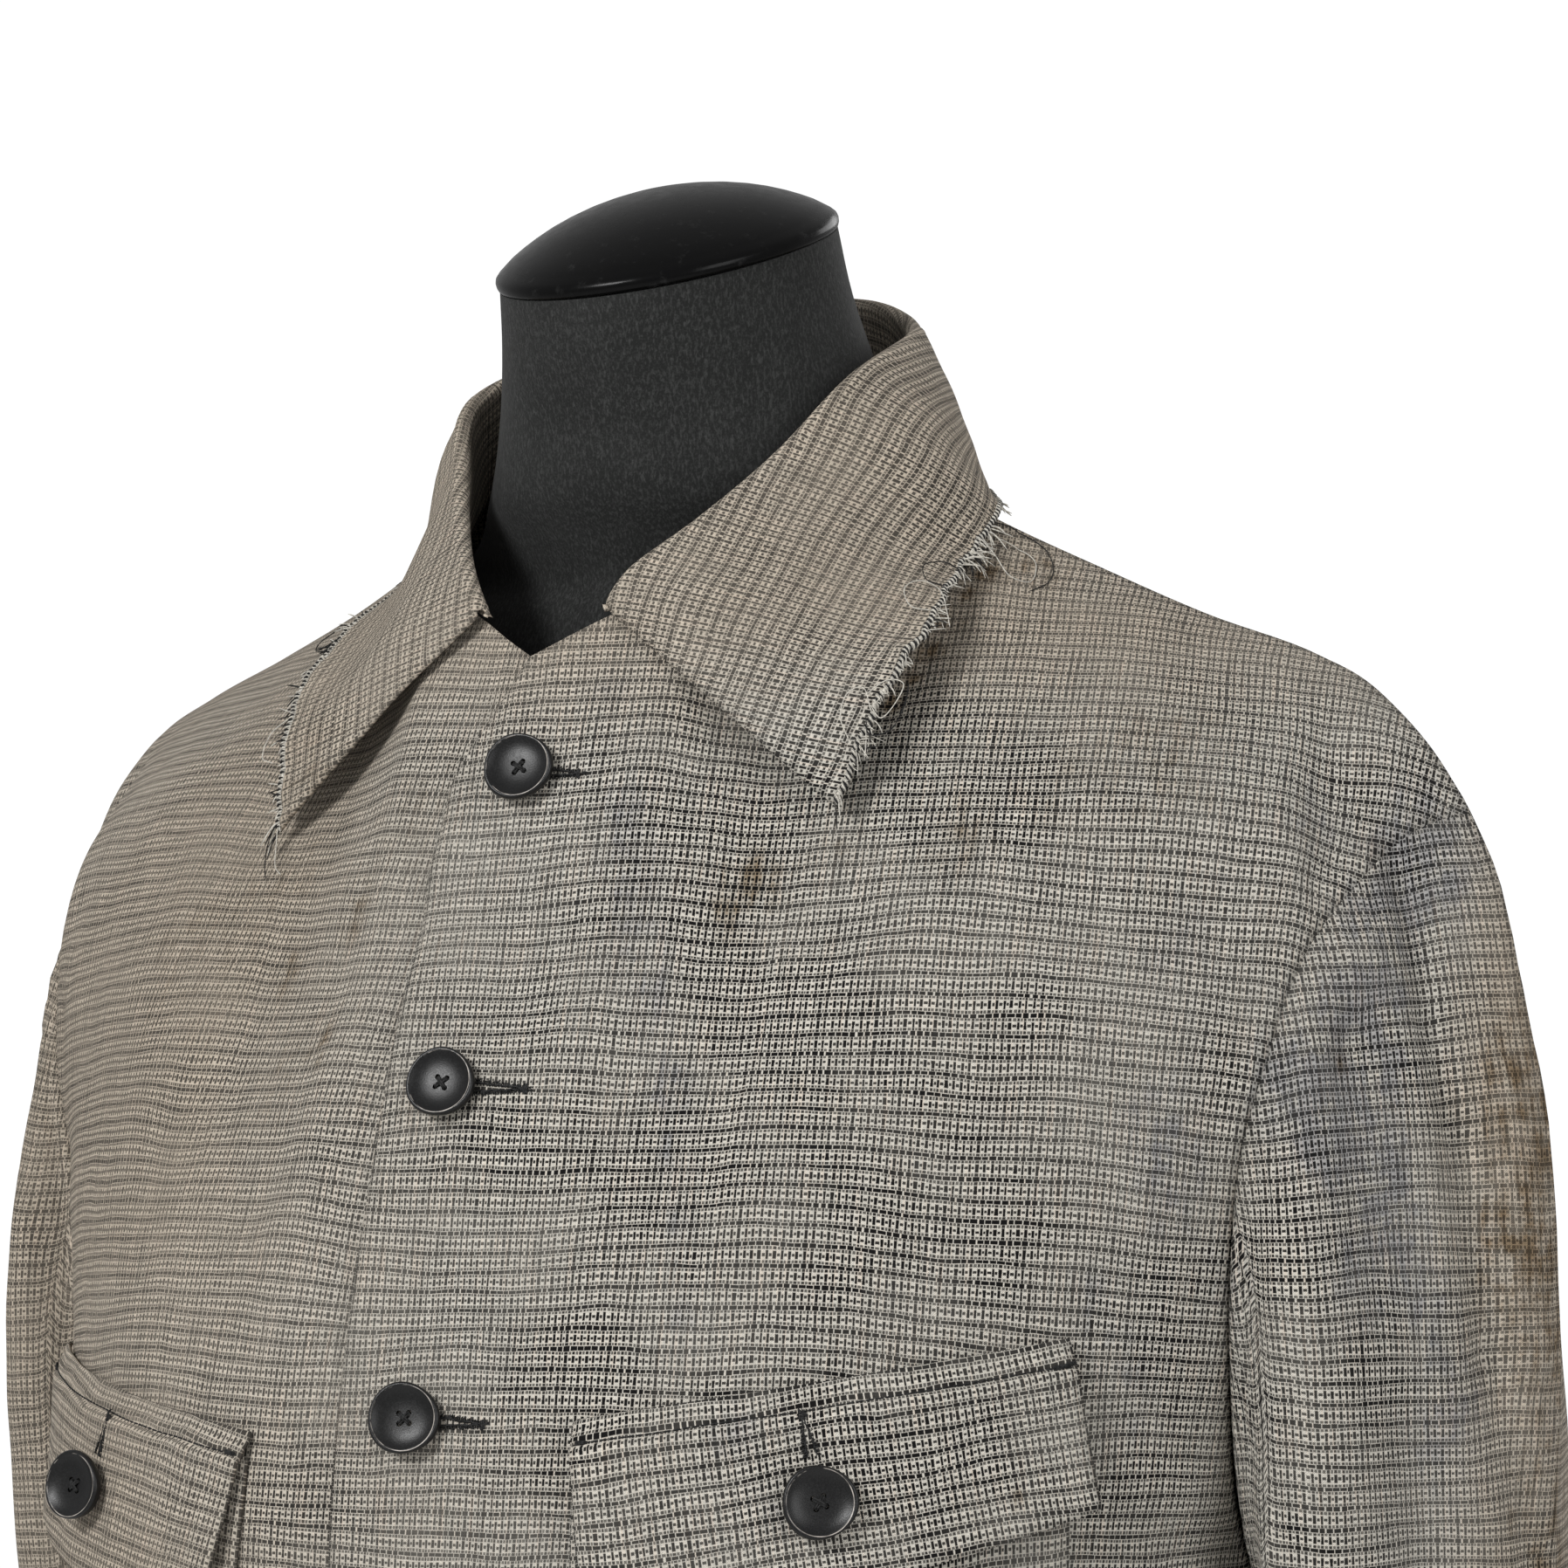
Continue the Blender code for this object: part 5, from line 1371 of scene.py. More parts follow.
        # the brown marks are stains and also painted shade: a shadow line under the collar's left outer edge
        # and a dark dimple at the sleeve head
        for tint, mark_colour in ((Tint.BROWN, self.brown), (Tint.BLUE, self.blue)):
            broken = g.times(g.attribute(tint.value), mark_breakup, streaks)
            colour = g.mix(g.step(broken, 0.0, 0.9), colour, g.mix(1.0, colour, mark_colour, "MULTIPLY"))
        g.bump(g.sum(g.times(checks, 0.5), g.times(yarn, 1.5), g.times(pattern, -0.6)), 0.00018, 0.8)
        return g.finish(Base_Color=colour, Roughness=0.95, Specular_IOR_Level=0.08, Sheen_Weight=0.02,
                        Sheen_Roughness=0.6)


@dataclass(frozen=True)
class MelangeJersey:
    """The dress form's charcoal jersey with paler flecks."""

    dark: Colour = (0.010, 0.0105, 0.010)
    pale: Colour = (0.044, 0.045, 0.044)

    def build(self) -> Material:
        """Makes the material."""
        g = Graph("form_jersey")
        place = g.object_place()
        fine = g.noise(place, 1500.0, 2.0, 0.7)
        streak = g.node("ShaderNodeMapping", {"Vector": place, "Scale": (1300.0, 1300.0, 480.0)}).outputs[0]
        fleck = g.noise(streak, 1.0, 2.0, 0.6)
        cloud = g.noise(place, 30.0, 3.0)
        share = g.sum(g.step(fleck, 0.44, 0.7, 0.0, 0.55), g.step(fine, 0.45, 0.75, 0.0, 0.45),
                      g.scale(cloud, 0.3, 0.7, -0.1, 0.12))
        g.bump(g.sum(fine, fleck), 0.0002, 0.5)
        return g.finish(Base_Color=g.mix(share, self.dark, self.pale), Roughness=0.88,
                        Specular_IOR_Level=0.2, Sheen_Weight=0.08, Sheen_Roughness=0.5)


@dataclass(frozen=True)
class BlackGloss:
    """Satin black lacquer or moulded plastic with fine scuffs."""

    name: str
    colour: Colour = (0.0025, 0.0025, 0.0026)
    roughness: float = 0.22
    scuff: float = 0.02
    grain: float = 260.0

    def build(self) -> Material:
        """Makes the material."""
        g = Graph(self.name)
        place = g.object_place()
        haze, cloud = g.noise(place, self.grain, 4.0, 0.65), g.noise(place, self.grain / 14)
        rough = g.sum(self.roughness, g.scale(haze, 0.3, 0.7, -0.05, 0.07),
                      g.scale(cloud, 0.3, 0.7, -0.04, 0.05))
        pale = tuple(c + self.scuff for c in self.colour)
        colour = g.mix(g.step(haze, 0.56, 0.8, 0.0, 0.6), self.colour, pale)
        g.bump(haze, 0.00005, 0.4)
        return g.finish(Base_Color=colour, Roughness=rough, Specular_IOR_Level=0.10)


@dataclass(frozen=True)
class Yarn:
    """Loose or sewn thread."""

    name: str
    colour: Colour
    other: Colour

    def build(self) -> Material:
        """Makes the material."""
        g = Graph(self.name)
        fuzz = g.noise(g.object_place(), 1400.0, 2.0)
        g.bump(fuzz, 0.0002, 0.6)
        colour = g.mix(g.step(fuzz, 0.4, 0.6), self.colour, self.other)
        return g.finish(Base_Color=colour, Roughness=0.9, Specular_IOR_Level=0.2)


@dataclass(frozen=True)
class HornButton:
    """Black, with a pale line round the rim that is partly wear and partly a painted highlight, brightest on
    each button's lower right. The UV map gives the turn and the share of the radius.
    """

    body: Colour = (0.004, 0.004, 0.0042)
    dish: Colour = (0.012, 0.012, 0.0122)
    # the rim line's colour: partly wear, partly a painted highlight
    worn: Colour = (0.55, 0.50, 0.45)

    def build(self) -> Material:
        """Makes the material."""
        g = Graph("button")
        uv = g.node("ShaderNodeUVMap", {}, uv_map="Turn").outputs["UV"]
        turn, out = g.node("ShaderNodeSeparateXYZ", {0: uv}).outputs[:2]
        place = g.object_place()
        grain = g.noise(place, 2200.0, 3.0, 0.7)
        patch = g.noise(place, 420.0, 2.0)
        # painted highlight: the rim line is brightest towards each button's lower right, the same side on
        # every button, and noise breaks it into worn patches
        highlight_side = g.math("COSINE", g.times(g.math("ADD", turn, 0.09), 2 * math.pi))
        rim = g.within(g.math("SUBTRACT", out, 0.925), 0.010, 0.008)
        highlight_and_chips = g.sum(g.scale(highlight_side, -0.6, 0.8, 0.05, 0.85), g.scale(patch, 0.35, 0.65, -0.35, 0.35))
        base = g.mix(g.step(grain, 0.42, 0.72, 0.0, 0.7), self.body, self.dish)
        colour = g.mix(g.times(rim, g.math("MAXIMUM", highlight_and_chips, 0.0)), base, self.worn)
        g.bump(grain, 0.00006, 0.7)
        rough = g.scale(grain, 0.3, 0.7, 0.28, 0.44)
        return g.finish(Base_Color=colour, Roughness=rough, Specular_IOR_Level=0.34)


@dataclass
class Buttons:
    """Dished four-hole buttons, each sewn on with a cross of black thread."""

    finish: Material
    thread: Material
    radius: float = 9.5
    fullness: float = 1.03
    sides: int = 72
    hole_spread: float = 1.95
    hole_radius: float = 0.78
    seat: float = 0.5
    profile: tuple[tuple[float, float], ...] = (
        (0.0, 0.35), (5.8, 0.30), (7.6, 0.55), (8.7, 1.15), (9.3, 2.00), (9.5, 2.80), (9.46, 3.40),
        (9.30, 3.85), (9.06, 4.10), (8.80, 4.20), (8.52, 4.14), (8.15, 3.92), (7.5, 3.52), (6.5, 3.08),
        (5.3, 2.74), (4.0, 2.52), (2.6, 2.42), (1.2, 2.40), (0.0, 2.40))

    def blank(self) -> bpy.types.Mesh:
        """A button's mesh in millimetres, spun from its profile and drilled."""
        shape, drill = spun(self.profile, self.sides), bmesh.new()
        bmesh.ops.remove_doubles(shape, verts=shape.verts, dist=0.001)
        bmesh.ops.recalc_face_normals(shape, faces=shape.faces)
        for vert in shape.verts:
            turn = math.atan2(vert.co.y, vert.co.x)
            share = (math.hypot(vert.co.x, vert.co.y) / self.radius) ** 2
            uneven = 0.026 * math.cos(3 * turn + 0.7) + 0.020 * math.cos(2 * turn + 0.3)
            swell = self.fullness + share * uneven
            vert.co.x, vert.co.y = vert.co.x * swell, vert.co.y * swell
        for k in range(4):
            turn = math.pi / 4 + k * math.pi / 2
            where = Vector((math.cos(turn), math.sin(turn), 0)) * self.hole_spread + Vector((0, 0, 1.5))
            bmesh.ops.create_cone(drill, segments=14, radius1=self.hole_radius, radius2=self.hole_radius,
                                  depth=6.0, cap_ends=True, matrix=Matrix.Translation(where))
        things = []
        for name, made in (("blank", shape), ("cutter", drill)):
            things.append(linked(name, bpy.data.meshes.new(name)))
            made.to_mesh(things[-1].data)
            made.free()
        holes = things[0].modifiers.new("holes", "BOOLEAN")
        holes.object, holes.operation, holes.solver = things[1], "DIFFERENCE", "EXACT"
        bpy.context.view_layer.update()
        drilled = things[0].evaluated_get(bpy.context.evaluated_depsgraph_get())
        mesh = bpy.data.meshes.new_from_object(drilled)
        for thing in things:
            bpy.data.objects.remove(thing, do_unlink=True)
        return mesh

    def cross(self, name: str, middle: Vector, turn: Matrix) -> None:
        """Sews the cross of thread over a button's holes.

        Args:
            name: The thread's name.
            middle: The middle of the button's underside, in metres.
            turn: How the button is turned.
        """
        bundle = Threads()
        for angle, top in ((math.pi / 4, 3.0), (3 * math.pi / 4, 3.15)):
            way = np.array([math.cos(angle), math.sin(angle)])
            for shift in (-0.28, 0.28):
                over = np.array([-way[1], way[0]]) * shift
                line = [Vector((*(way * reach + over), height)) * MM for reach, height in (
                    (-2, 1.2), (-1.9, 2.2), (-1.45, 2.75), (0, top), (1.45, 2.75), (1.9, 2.2), (2, 1.2))]
                bundle.add(np.array([middle + turn @ point for point in line]), 0.34 * MM)
        dress(bundle.finish(name, self.thread), "button")

    def add(self, name: str, node: str, blank: bpy.types.Mesh, place: Array, out: Array, turned: float,
            tipped: float = 0.0) -> None:
        """Sets one button and its thread on the cloth.

        Args:
            name: The piece's name.
            node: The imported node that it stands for.
            blank: The drilled mesh in millimetres.
            place: The cloth under its middle.
            out: The cloth's outward normal there.
            turned: How far the cross of its holes is turned, in degrees.
            tipped: How far the loosely sewn button has swung towards the wearer's left, in degrees.
        """
        swing = Matrix.Rotation(math.radians(tipped), 3, "Z")
        away = swing @ Vector(unit(out))
        place = place + out * self.radius * abs(math.sin(math.radians(tipped))) * 0.8
        side = Vector((0, 0, 1)).cross(away).normalized()
        spin = Matrix.Rotation(math.radians(turned), 3, "Z")
        turn = Matrix((side, away.cross(side), away)).transposed() @ spin
        middle = Vector(to_world(place)) + away * self.seat * MM
        mesh = blank.copy()
        mesh.name = name
        mesh.materials.clear()
        mesh.materials.append(self.finish)
        layer = mesh.uv_layers.new(name="Turn")
        for face in mesh.polygons:
            near = spin @ face.center
            angle = math.atan2(near.y, near.x) / (2 * math.pi)
            for loop in face.loop_indices:
                flat = mesh.vertices[mesh.loops[loop].vertex_index].co
                layer.data[loop].uv = (angle % 1.0, math.hypot(flat.x, flat.y) / self.radius)
        mesh.transform(Matrix.Translation(middle) @ turn.to_4x4() @ Matrix.Scale(MM, 4))
        mesh.shade_smooth()
        mesh.set_sharp_from_angle(angle=math.radians(55))
        dress(linked(name, mesh), "button", [node])
        self.cross(name + "_thread", middle, turn)


class Threads:
    """Gathers thin threads, each a tube swept along its points, into one mesh."""

    def __init__(self, sides: int = 5) -> None:
        """Starts an empty bundle."""
        self.sides = sides
        self.shape = bmesh.new()

    def add(self, points: Array, radius: float, taper: float = 0.6) -> None:
        """Adds one thread.

        Args:
            points: Places along it in metres.
            radius: Its radius in metres.
            taper: The share of the radius that is left beside its ends.
        """
        points = np.asarray(points, float)
        way = unit(np.gradient(points, axis=0))
        side = unit(np.cross(way, np.array([0.31, 0.17, 0.93])) + 1e-9)
        over = np.cross(way, side)
        share = np.full(len(points), 1.0)
        share[0] = share[-1] = taper
        turns = np.linspace(0, 2 * math.pi, self.sides + 1)
        ring = side[:, None] * np.cos(turns)[None, :, None] + over[:, None] * np.sin(turns)[None, :, None]
        tube = points[:, None] + ring * (radius * share)[:, None, None]
        ends = [np.repeat(points[k][None, None] + way[k] * s * radius * 0.6, self.sides + 1, 1)
                for k, s in ((0, -1), (-1, 1))]
        wrapped_grid(self.shape, np.concatenate([ends[0], tube, ends[1]]))

    def finish(self, name: str, finish: Material) -> bpy.types.Object:
        """Closes the threads and makes them one object."""
        bmesh.ops.remove_doubles(self.shape, verts=self.shape.verts, dist=MERGE / 4)
        bmesh.ops.recalc_face_normals(self.shape, faces=self.shape.faces)
        return add_piece(name, self.shape, finish)


def bridge(middle: Array, half: Array, out: Array, sunk: float, flat: float, high: float) -> Array:
    """A stitch that rises out of the cloth, runs flat and sinks again.

    Args:
        middle: Its middle.
        half: Half its run.
        out: The way out of the cloth.
        sunk: How deep its ends lie.
        flat: The share of its run that lies flat.
        high: How high it lies.

    Returns:
        Points along it in metres.
    """
    return to_world(np.array([middle - half - out * sunk, middle - half * flat + out * high,
                              middle + half * flat + out * high, middle + half - out * sunk]))


@dataclass
class Sewing:
    """The black buttonholes and the stitching of the flaps."""

    pockets: ChestPockets
    chart: ChestChart
    thread: Material
    pitch: float = 0.6
    reach: float = 1.15
    mouth: float = 1.25
    radius: float = 0.24
    near_end: float = 9.0
    far_end: float = 27.0
    stitch: float = 2.35
    stitch_pitch: float = 2.5

    def hole(self, bundle: Threads, start: Array, end: Array, out: Array, seed: int) -> None:
        """Two rows of close fuzzy stitches that draw together at a bar.

        Args:
            bundle: The threads to add to.
            start: The hole's open end under the button, in millimetres.
            end: Its far end, where the bar lies.
            out: The way out of the cloth.
            seed: How the stitches vary.
        """
        rng = np.random.default_rng(seed)
        run = end - start
        way = unit(run)
        over = unit(np.cross(out, way))
        count = int(np.linalg.norm(run) / self.pitch)
        for t in np.arange(count + 1) / count:
            for away in (-over, over):
                base = start + run * t + away * (0.15 + self.mouth * (1 - t) ** 0.8)
                long = self.reach * rng.uniform(0.75, 1.3) * (1 - 0.3 * t)
                skew = way * rng.uniform(-0.45, 0.45)
                line = [base - away * 0.3 - out * 0.15, base - away * 0.1 + out * 0.42,
                        base + away * long * 0.55 + skew * 0.5 + out * 0.34,
                        base + away * long + skew - out * 0.2]
                bundle.add(to_world(np.array(line)), self.radius * MM)
        t = np.linspace(0, 1, 22)[:, None]
        for away in (-over, over):
            gap = 0.05 + self.mouth * (1 - t) ** 0.8 + 0.12 * rng.standard_normal(t.shape)
            line = start + run * t + away * gap + out * (0.42 + 0.1 * rng.standard_normal(t.shape))
            bundle.add(to_world(line), self.radius * 1.2 * MM)
        for _ in range(7):
            middle = end + way * rng.uniform(-0.7, 0.9) + over * rng.uniform(-0.3, 0.3)
            half = over * rng.uniform(0.9, 1.7) + way * rng.uniform(-0.3, 0.3)
            bundle.add(bridge(middle, half, out, 0.2, 0.6, 0.5), self.radius * MM)
        for _ in range(4):
            tail = end + way * rng.uniform(0.3, 0.9) + over * rng.uniform(-0.5, 0.5)
            line = [tail + out * 0.3, tail + way * 0.9 + out * 0.5,
                    tail + way * 1.8 + over * rng.uniform(-0.8, 0.8)]
            bundle.add(to_world(np.array(line)), self.radius * 0.7 * MM)

    def flap_line(self, bundle: Threads, side: Side, seed: int) -> None:
        """The line of stitches under a flap's top band, and the tacks at its ends.

        Args:
            bundle: The threads to add to.
            side: Which flap.
            seed: How the tacks vary.
        """
        rng = np.random.default_rng(seed)
        pockets = self.pockets
        shares = np.append(np.linspace(0, 1, 601), (0.974, 0.025))
        levels = pockets.band / pockets.drop(shares)
        for a in np.arange(1.0, pockets.width - 2.4, self.stitch_pitch) / pockets.width:
            line = []
            for t, lift in ((0.0, -0.3), (0.15, 0.1), (0.5, 0.18), (0.85, 0.1), (1.0, -0.3)):
                share = a + t * self.stitch / pockets.width
                line.append(pockets.spot(side, share, levels[np.abs(shares - share).argmin()], lift)[0])
            bundle.add(to_world(np.array(line)), self.radius * MM)
        for share, level, size, count in ((0.974, levels[-2], 3.4, 14), (0.025, levels[-1], 2.2, 8)):
            point, out = pockets.spot(side, share, level, 0.3)
            ends = [pockets.spot(side, share + step, 0.13)[0] for step in (-0.02, 0.02)]
            along = unit(ends[0] - ends[1])
            for _ in range(count):
                half = along * size * rng.uniform(0.6, 1.1) + UP * rng.uniform(-0.5, 0.5)
                middle = point + UP * rng.uniform(-0.45, 0.45)
                bundle.add(bridge(middle, half, out, 0.4, 0.7, 0.2), self.radius * MM)

    def build(self, buttons: Sequence[Array]) -> None:
        """Makes the front's six buttonholes, then the flaps' stitching.

        Args:
            buttons: The places of the front buttons.
        """
        bundle = Threads(4)
        for k, place in enumerate(buttons):
            start, _ = self.chart.find(self.near_end, place[2])
            end, out = self.chart.find(self.far_end, place[2] - 0.4)
            self.hole(bundle, start, end, out, 100 + k)
        dress(bundle.finish("front_buttonholes", self.thread), "woven_cloth")
        bundle = Threads(4)
        for side in Side:
            start, _ = self.pockets.spot(side, 0.47, 0.36, 0.1)
            end, out = self.pockets.spot(side, 0.460, 0.155, 0.1)
            self.hole(bundle, start, end, out, 120 + side.value)
            self.flap_line(bundle, side, 130 + side.value)
        dress(bundle.finish("flap_stitching", self.thread), "woven_cloth")


@dataclass
class WornEdge:
    """The collar's raw outer edge: a slanting overcast roll with frayed ends and loose loops."""

    cloth: ClothGrid
    front: ClothGrid
    bead: float = 0.95
    pitch: float = 0.85
    clear: float = 0.35
    near: float = 8.0
    pale: Colour = (0.62, 0.59, 0.52)
    shaded: Colour = (0.42, 0.40, 0.36)

    def __post_init__(self) -> None:
        """Finds the length of the edge, and its ways along, away from the collar and out."""
        points = self.cloth.points
        self.edge, self.length = points[0], run_length(points[0])
        self.along, self.away = unit(np.gradient(points[0], axis=0)), unit(points[0] - points[3])
        self.out = unit(self.cloth.out[3])

    def frame(self, at: float, side: Side) -> tuple[Array, Array, Array, Array]:
        """The edge at a distance from one of its points: its place and its ways along, away and out."""
        s = at if side is Side.LEFT else self.length[-1] - at
        place, along, away, out = (along_line(s, self.length, values)
                                   for values in (self.edge, self.along, self.away, self.out))
        return place, along * side.value, away, out

    def centre(self, s: float) -> Array:
        """The middle of the rolled edge."""
        place, _, away, out = self.frame(s, Side.LEFT)
        return place - out * 0.25 - away * 0.6

    def roll(self, pale: Threads, dark: Threads) -> None:
        """The rolled edge: a core with short slanting threads over it, some of them worn away."""
        core = [self.centre(s) for s in np.linspace(0, self.length[-1], 500)]
        pale.add(to_world(np.array(core)), self.bead * 0.9 * MM)
        rng = np.random.default_rng(7)
        for k, s in enumerate(np.arange(1.0, self.length[-1] - 1, self.pitch)):
            if rng.random() < 0.04:
                continue
            _, along, away, out = self.frame(s, Side.LEFT)
            size = self.bead * rng.uniform(0.95, 1.2)
            line = [self.centre(s) + (away * math.cos(a) + out * math.sin(a)) * size + along * a / 3
                    for a in np.linspace(-1.5, 2.4, 6)]
            (pale if k % 2 else dark).add(to_world(np.array(line)), rng.uniform(0.24, 0.34) * MM)

    def above(self, line: Array, side: Side) -> Array:
        """The same line, moved out to where it lies just over the front's cloth."""
        turn = np.array([side.value, 1, 1])
        flat, ways = (values[JacketForm.low_rows::2, ::2].reshape(-1, 3) * turn
                      for values in (self.front.points, self.front.out))
        nearest = np.linalg.norm(line[:, None] - flat[None], axis=2).argmin(1)
        depth = ((line - flat[nearest]) * ways[nearest]).sum(1)
        near = np.linalg.norm(line - flat[nearest], axis=1) < self.near
        return line + ways[nearest] * np.where(near, np.maximum(self.clear - depth, 0), 0)[:, None]

    def fray(self, bundle: Threads, side: Side, at: float, long: float, rng: np.random.Generator) -> None:
        """One short thread end that curls out of the edge and sinks a little.

        Args:
            bundle: The threads to add to.
            side: Which of the collar's points the distance is taken from.
            at: The distance.
            long: The thread's length.
            rng: Where its chances come from.
        """
        place, along, away, out = self.frame(at, side)
        way = away * rng.uniform(0.5, 1.0) + out * rng.uniform(-0.1, 0.7) + along * rng.uniform(-0.8, 0.8)
        curl = along * rng.uniform(-0.8, 0.8) + out * rng.uniform(-0.2, 0.5)
        t = np.linspace(0, 1, 6)[:, None]
        line = place - away * 0.8 + (unit(way) * t + curl * t * t * 0.7 - UP * 0.35 * t * t) * long
        bundle.add(to_world(self.above(line, side)), rng.uniform(0.14, 0.25) * MM, 0.4)

    def build(self, black: Material) -> None:
        """Makes the pale and the dark threads."""
        pale, dark = Threads(4), Threads(4)
        self.roll(pale, dark)
        rng = np.random.default_rng(11)
        for side, tufts, loops, darker in ((Side.LEFT, LEFT_TUFTS, LEFT_LOOPS, 0.16),
                                           (Side.RIGHT, RIGHT_TUFTS, RIGHT_LOOPS, 0.5)):
            for middle, spread, count, long in tufts:
                for _ in range(count):
                    at = max(0.0, middle + spread * rng.uniform(-1, 1))
                    bundle = dark if rng.random() < darker else pale
                    self.fray(bundle, side, at, long * rng.uniform(0.35, 1.1), rng)
            for _ in range(60):
                self.fray(pale, side, rng.uniform(0, 230), rng.uniform(1.2, 3.2), rng)
            for k, loop in enumerate(loops):
                knots = []
                for at, reach, lift in loop:
                    place, along, away, out = self.frame(max(at, 0.0), side)
                    knots.append(place + along * min(at, 0) + away * reach + out * lift)
                keys = np.arange(len(knots))
                line = self.above(spline(keys, np.array(knots), np.linspace(0, keys[-1], 30)), side)
                (dark if k % 2 or k == len(loops) - 1 else pale).add(to_world(line), 0.17 * MM, 0.5)
        yarn = Yarn("fray_thread", self.pale, self.shaded).build()
        dress(pale.finish("collar_frayed_edge", yarn), "woven_cloth")
        dress(dark.finish("collar_dark_threads", black), "woven_cloth")


@dataclass
class DressForm:
    """The jersey-covered form, its gloss neck cap and its stand."""

    sides: int = 96
    rows: int = 90
    cap_rows: tuple[tuple[float, float], ...] = (
        (0.3, 0.0), (0.3, 0.9), (0.3, 0.995), (0.6, 1.006), (1.4, 1.013), (2.6, 1.015), (3.6, 1.009),
        (4.6, 0.990), (5.5, 0.966), (6.5, 0.940), (7.6, 0.910), (9.4, 0.848), (11.4, 0.770), (13.4, 0.680),
        (15.2, 0.580), (16.8, 0.470), (18.0, 0.360), (18.9, 0.250), (19.4, 0.140), (19.55, 0.06),
        (19.6, 0.0))
    base_radius: float = 165.0
    base_thickness: float = 12.0
    pole_radius: float = 13.0

    def ring(self, sizes: Array, height: float) -> Array:
        """One section of the form, leant forwards about its own middle."""
        half_x, middle, front, rear, square, lean = sizes
        turns = np.linspace(0, 2 * math.pi, self.sides + 1)
        cos, sin = np.cos(turns), np.sin(turns)
        x = half_x * np.sign(cos) * np.abs(cos) ** (2 / square)
        y = np.where(sin > 0, rear, front) * np.sign(sin) * np.abs(sin) ** (2 / square)
        lean = math.radians(lean)
        return np.stack([x, middle + y * math.cos(lean), height + y * math.sin(lean)], 1)

    def closed(self, name: str, rings: Sequence[Array], finish: Material) -> bpy.types.Object:
        """A closed piece through rings of points, the first and last of them drawn to a point."""
        shape = bmesh.new()
        wrapped_grid(shape, to_world(np.array(rings)))
        close_up(shape)
        return add_piece(name, shape, finish)

    def torso(self, finish: Material) -> None:
        """The form's body and neck block."""
        keys = FORM_RINGS[:, 0]
        heights = np.interp(np.linspace(0, len(keys) - 1, self.rows), np.arange(len(keys)), keys)
        rings = [self.ring(spline(keys, FORM_RINGS[:, 1:], h), h) for h in heights]
        foot, top = ([ring.mean(0) + (ring - ring.mean(0)) * share for share in (0.0, 0.5)]
                     for ring in (rings[0], rings[-1]))
        piece = self.closed("form_torso_jersey", foot + rings + top[::-1], finish)
        piece.data.set_sharp_from_angle(angle=math.radians(60))
        dress(piece, "form_jersey", ["form_torso"])

    def cap(self, finish: Material) -> None:
        """The cap on the neck block."""
        top = FORM_RINGS[-1]
        ring, lean = self.ring(top[1:], top[0]), math.radians(top[6])
        middle = np.array([0, top[2], top[0]])
        way = np.array([0, -math.sin(lean), math.cos(lean)])
        rings = [middle + (ring - middle) * scale + way * rise for rise, scale in self.cap_rows]
        dress(self.closed("neck_cap_gloss", rings, finish), "cap_gloss", ["neck_cap"])

    def turned(self, name: str, profile: Sequence[tuple[float, float]], finish: Material, node: str) -> None:
        """A piece of the stand, spun from radius and height in millimetres above the floor."""
        shape = spun(profile, self.sides, MM)
        close_up(shape)
        piece = add_piece(name, shape, finish)
        piece.data.set_sharp_from_angle(angle=math.radians(40))
        dress(piece, "stand_metal", [node])

    def build(self, jersey: Material, gloss: Material, paint: Material) -> None:
        """Makes the form and its stand."""
        self.torso(jersey)
        self.cap(gloss)
        top, radius, pole = self.base_thickness, self.base_radius, self.pole_radius
        self.turned("stand_base_plate", [
            (0, top), (radius * 0.3, top), (radius * 0.62, top - 0.6), (radius - 14, top - 1.7),
            (radius - 6, top - 2.6), (radius - 2.6, top - 4), (radius - 0.8, top - 6.2), (radius, top - 9),
            (radius - 0.3, 1.2), (radius - 1, 0), (radius - 22, 0), (0, 0)], paint, "stand_base")
        high = NOTCH_HEIGHT / MM + FORM_RINGS[0, 0] - 0.3
        self.turned("stand_pole_tube", [
            (0, top + 0.3), (pole, top + 0.3), (pole + 0.6, top + 1.2), (pole + 0.6, top + 9),
            (pole, top + 10.2), (pole - 0.2, top + 60), (pole - 0.2, high - 40), (pole, high - 20),
            (pole + 0.5, high - 19), (pole + 0.5, high - 1), (pole, high), (0, high)], paint, "stand_pole")


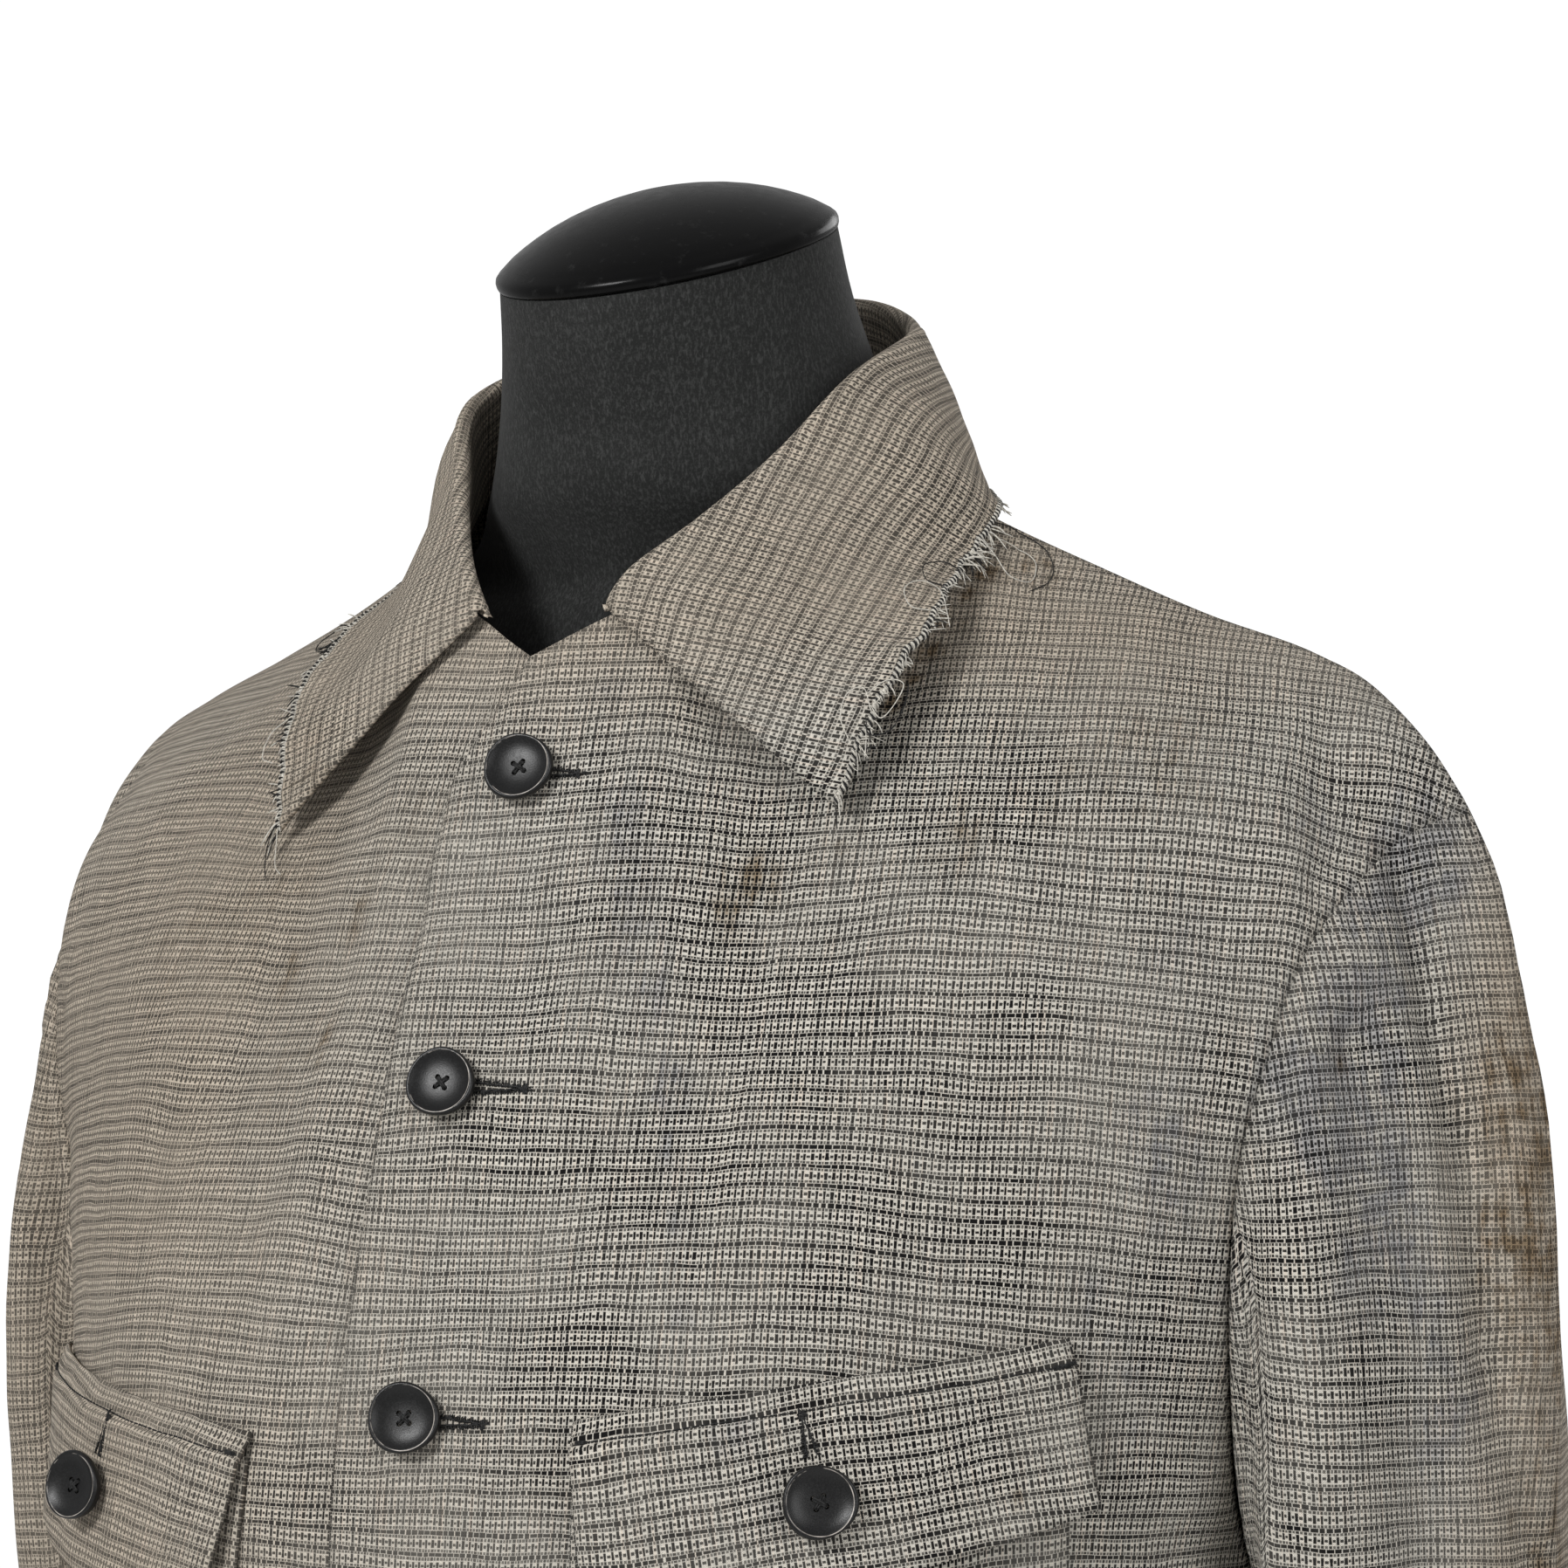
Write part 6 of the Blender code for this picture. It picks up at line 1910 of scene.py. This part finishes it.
@dataclass
class Studio:
    """The pale floor, the soft lights and the camera at the photograph's angle."""

    azimuth: float = math.radians(32.4)
    elevation: float = math.radians(-2.6)
    distance: float = 1.590
    lens: float = 130.73
    target: tuple[float, float, float] = (0.0, -0.080, 1.385)
    shift: float = 0.065
    chest: tuple[float, float, float] = (0.05, -0.10, 1.30)
    sky_light: float = 0.415
    sky_seen: float = 1.05

    def light(self, name: str, place: Sequence[float], size: Sequence[float], power: float) -> None:
        """Adds a soft box that faces the chest."""
        data = bpy.data.lights.new(name, "AREA")
        data.shape, data.size, data.size_y, data.energy = "RECTANGLE", size[0], size[1], power
        thing = linked(name, data)
        thing.location = place
        thing.rotation_euler = (Vector(self.chest) - Vector(place)).to_track_quat("-Z", "Y").to_euler()

    def room(self) -> None:
        """Adds the floor and the white surroundings."""
        shape = bmesh.new()
        bmesh.ops.create_grid(shape, x_segments=8, y_segments=8, size=5.0)
        g = Graph("floor")
        tone = g.mix(g.noise(g.object_place(), 3.0, 3.0), (0.80, 0.80, 0.79), (0.84, 0.84, 0.83))
        floor = add_piece("floor", shape, g.finish(Base_Color=tone, Roughness=0.7))
        floor.data.transform(Matrix.Translation((0, 0, -0.0005)))
        world = bpy.data.worlds.new("studio")
        world.use_nodes = True
        nodes, links = world.node_tree.nodes, world.node_tree.links
        sky = nodes["Background"]
        sky.inputs["Color"].default_value = (1, 1, 1, 1)
        amount = nodes.new("ShaderNodeMapRange")
        amount.inputs["To Min"].default_value = self.sky_light
        amount.inputs["To Max"].default_value = self.sky_seen
        links.new(nodes.new("ShaderNodeLightPath").outputs["Is Camera Ray"], amount.inputs["Value"])
        links.new(amount.outputs["Result"], sky.inputs["Strength"])
        bpy.context.scene.world = world

    def build(self) -> None:
        """Sets up the whole studio."""
        self.room()
        self.light("key", (-0.35, -2.5, 2.5), (0.8, 0.7), 54.0)
        self.light("fill", (2.5, -1.0, 1.9), (1.2, 1.6), 24.0)
        self.light("back", (0.4, 2.2, 2.4), (1.6, 1.0), 14.0)
        right = Vector((math.cos(self.azimuth), math.sin(self.azimuth), 0))
        away = Vector((math.sin(self.azimuth) * math.cos(self.elevation),
                       -math.cos(self.azimuth) * math.cos(self.elevation), math.sin(self.elevation)))
        data = bpy.data.cameras.new("camera")
        data.sensor_width, data.lens = 36.0, self.lens
        camera = linked("camera", data)
        turn = Matrix((right, away.cross(right), away)).transposed().to_4x4()
        turn.translation = right * self.shift + Vector(self.target) + away * self.distance
        camera.matrix_world = turn
        scene = bpy.context.scene
        scene.camera = camera
        scene.view_settings.view_transform = "Standard"
        scene.view_settings.look = "None"
        scene.view_settings.exposure = 0.0


def front_button_spots(upper: ClothGrid, centre: int) -> list[tuple[Array, Array]]:
    """The front buttons' places and normals down the centre line, a pitch apart along the cloth."""
    line, out = upper.points[:, centre], upper.out[:, centre]
    length = run_length(line)
    first = np.interp(FIRST_BUTTON, line[:, 2], length)
    places = [first - BUTTON_PITCH * k for k in range(len(FRONT_BUTTONS))]
    return [(along_line(at, length, line), along_line(at, length, out)) for at in places]


def main() -> None:
    """Builds the jacket, the form and the studio in order."""
    logging.basicConfig(level=logging.INFO, format="%(name)s %(message)s", force=True)
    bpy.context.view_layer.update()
    Studio().build()
    tailor = Tailor(WovenCloth().build())
    form = JacketForm()
    upper = JacketBody(form, tailor).build()
    collar = Collar(form, tailor).build()
    chart = ChestChart(upper, form.lap_columns)
    pockets = ChestPockets(chart, tailor)
    pockets.build()
    black = Yarn("black_thread", (0.012, 0.012, 0.012), (0.03, 0.03, 0.03)).build()
    buttons = Buttons(HornButton().build(), black)
    blank = buttons.blank()
    spots = front_button_spots(upper, form.lap_columns)
    for k, ((place, out), (turned, tipped, along)) in enumerate(zip(spots, FRONT_BUTTONS), 1):
        place = place + np.array([along, 0, 0])
        buttons.add(f"button_{k}_horn", f"button_{k}", blank, place, out, turned, tipped)
    for side, turned, tipped, down in ((Side.LEFT, 16, 5, 0.59), (Side.RIGHT, -6, 24, 0.53)):
        place, out = pockets.spot(side, 0.47, down, 0.3)
        way = side.name.lower()
        buttons.add(f"flap_button_{way}_horn", f"flap_button_{way}", blank, place, out, turned, tipped)
    Sewing(pockets, chart, black).build([place for place, _ in spots])
    WornEdge(collar, upper).build(black)
    DressForm().build(MelangeJersey().build(), BlackGloss("cap_gloss").build(),
                      BlackGloss("stand_paint", roughness=0.42, grain=420.0).build())


if __name__ == "__main__":
    main()
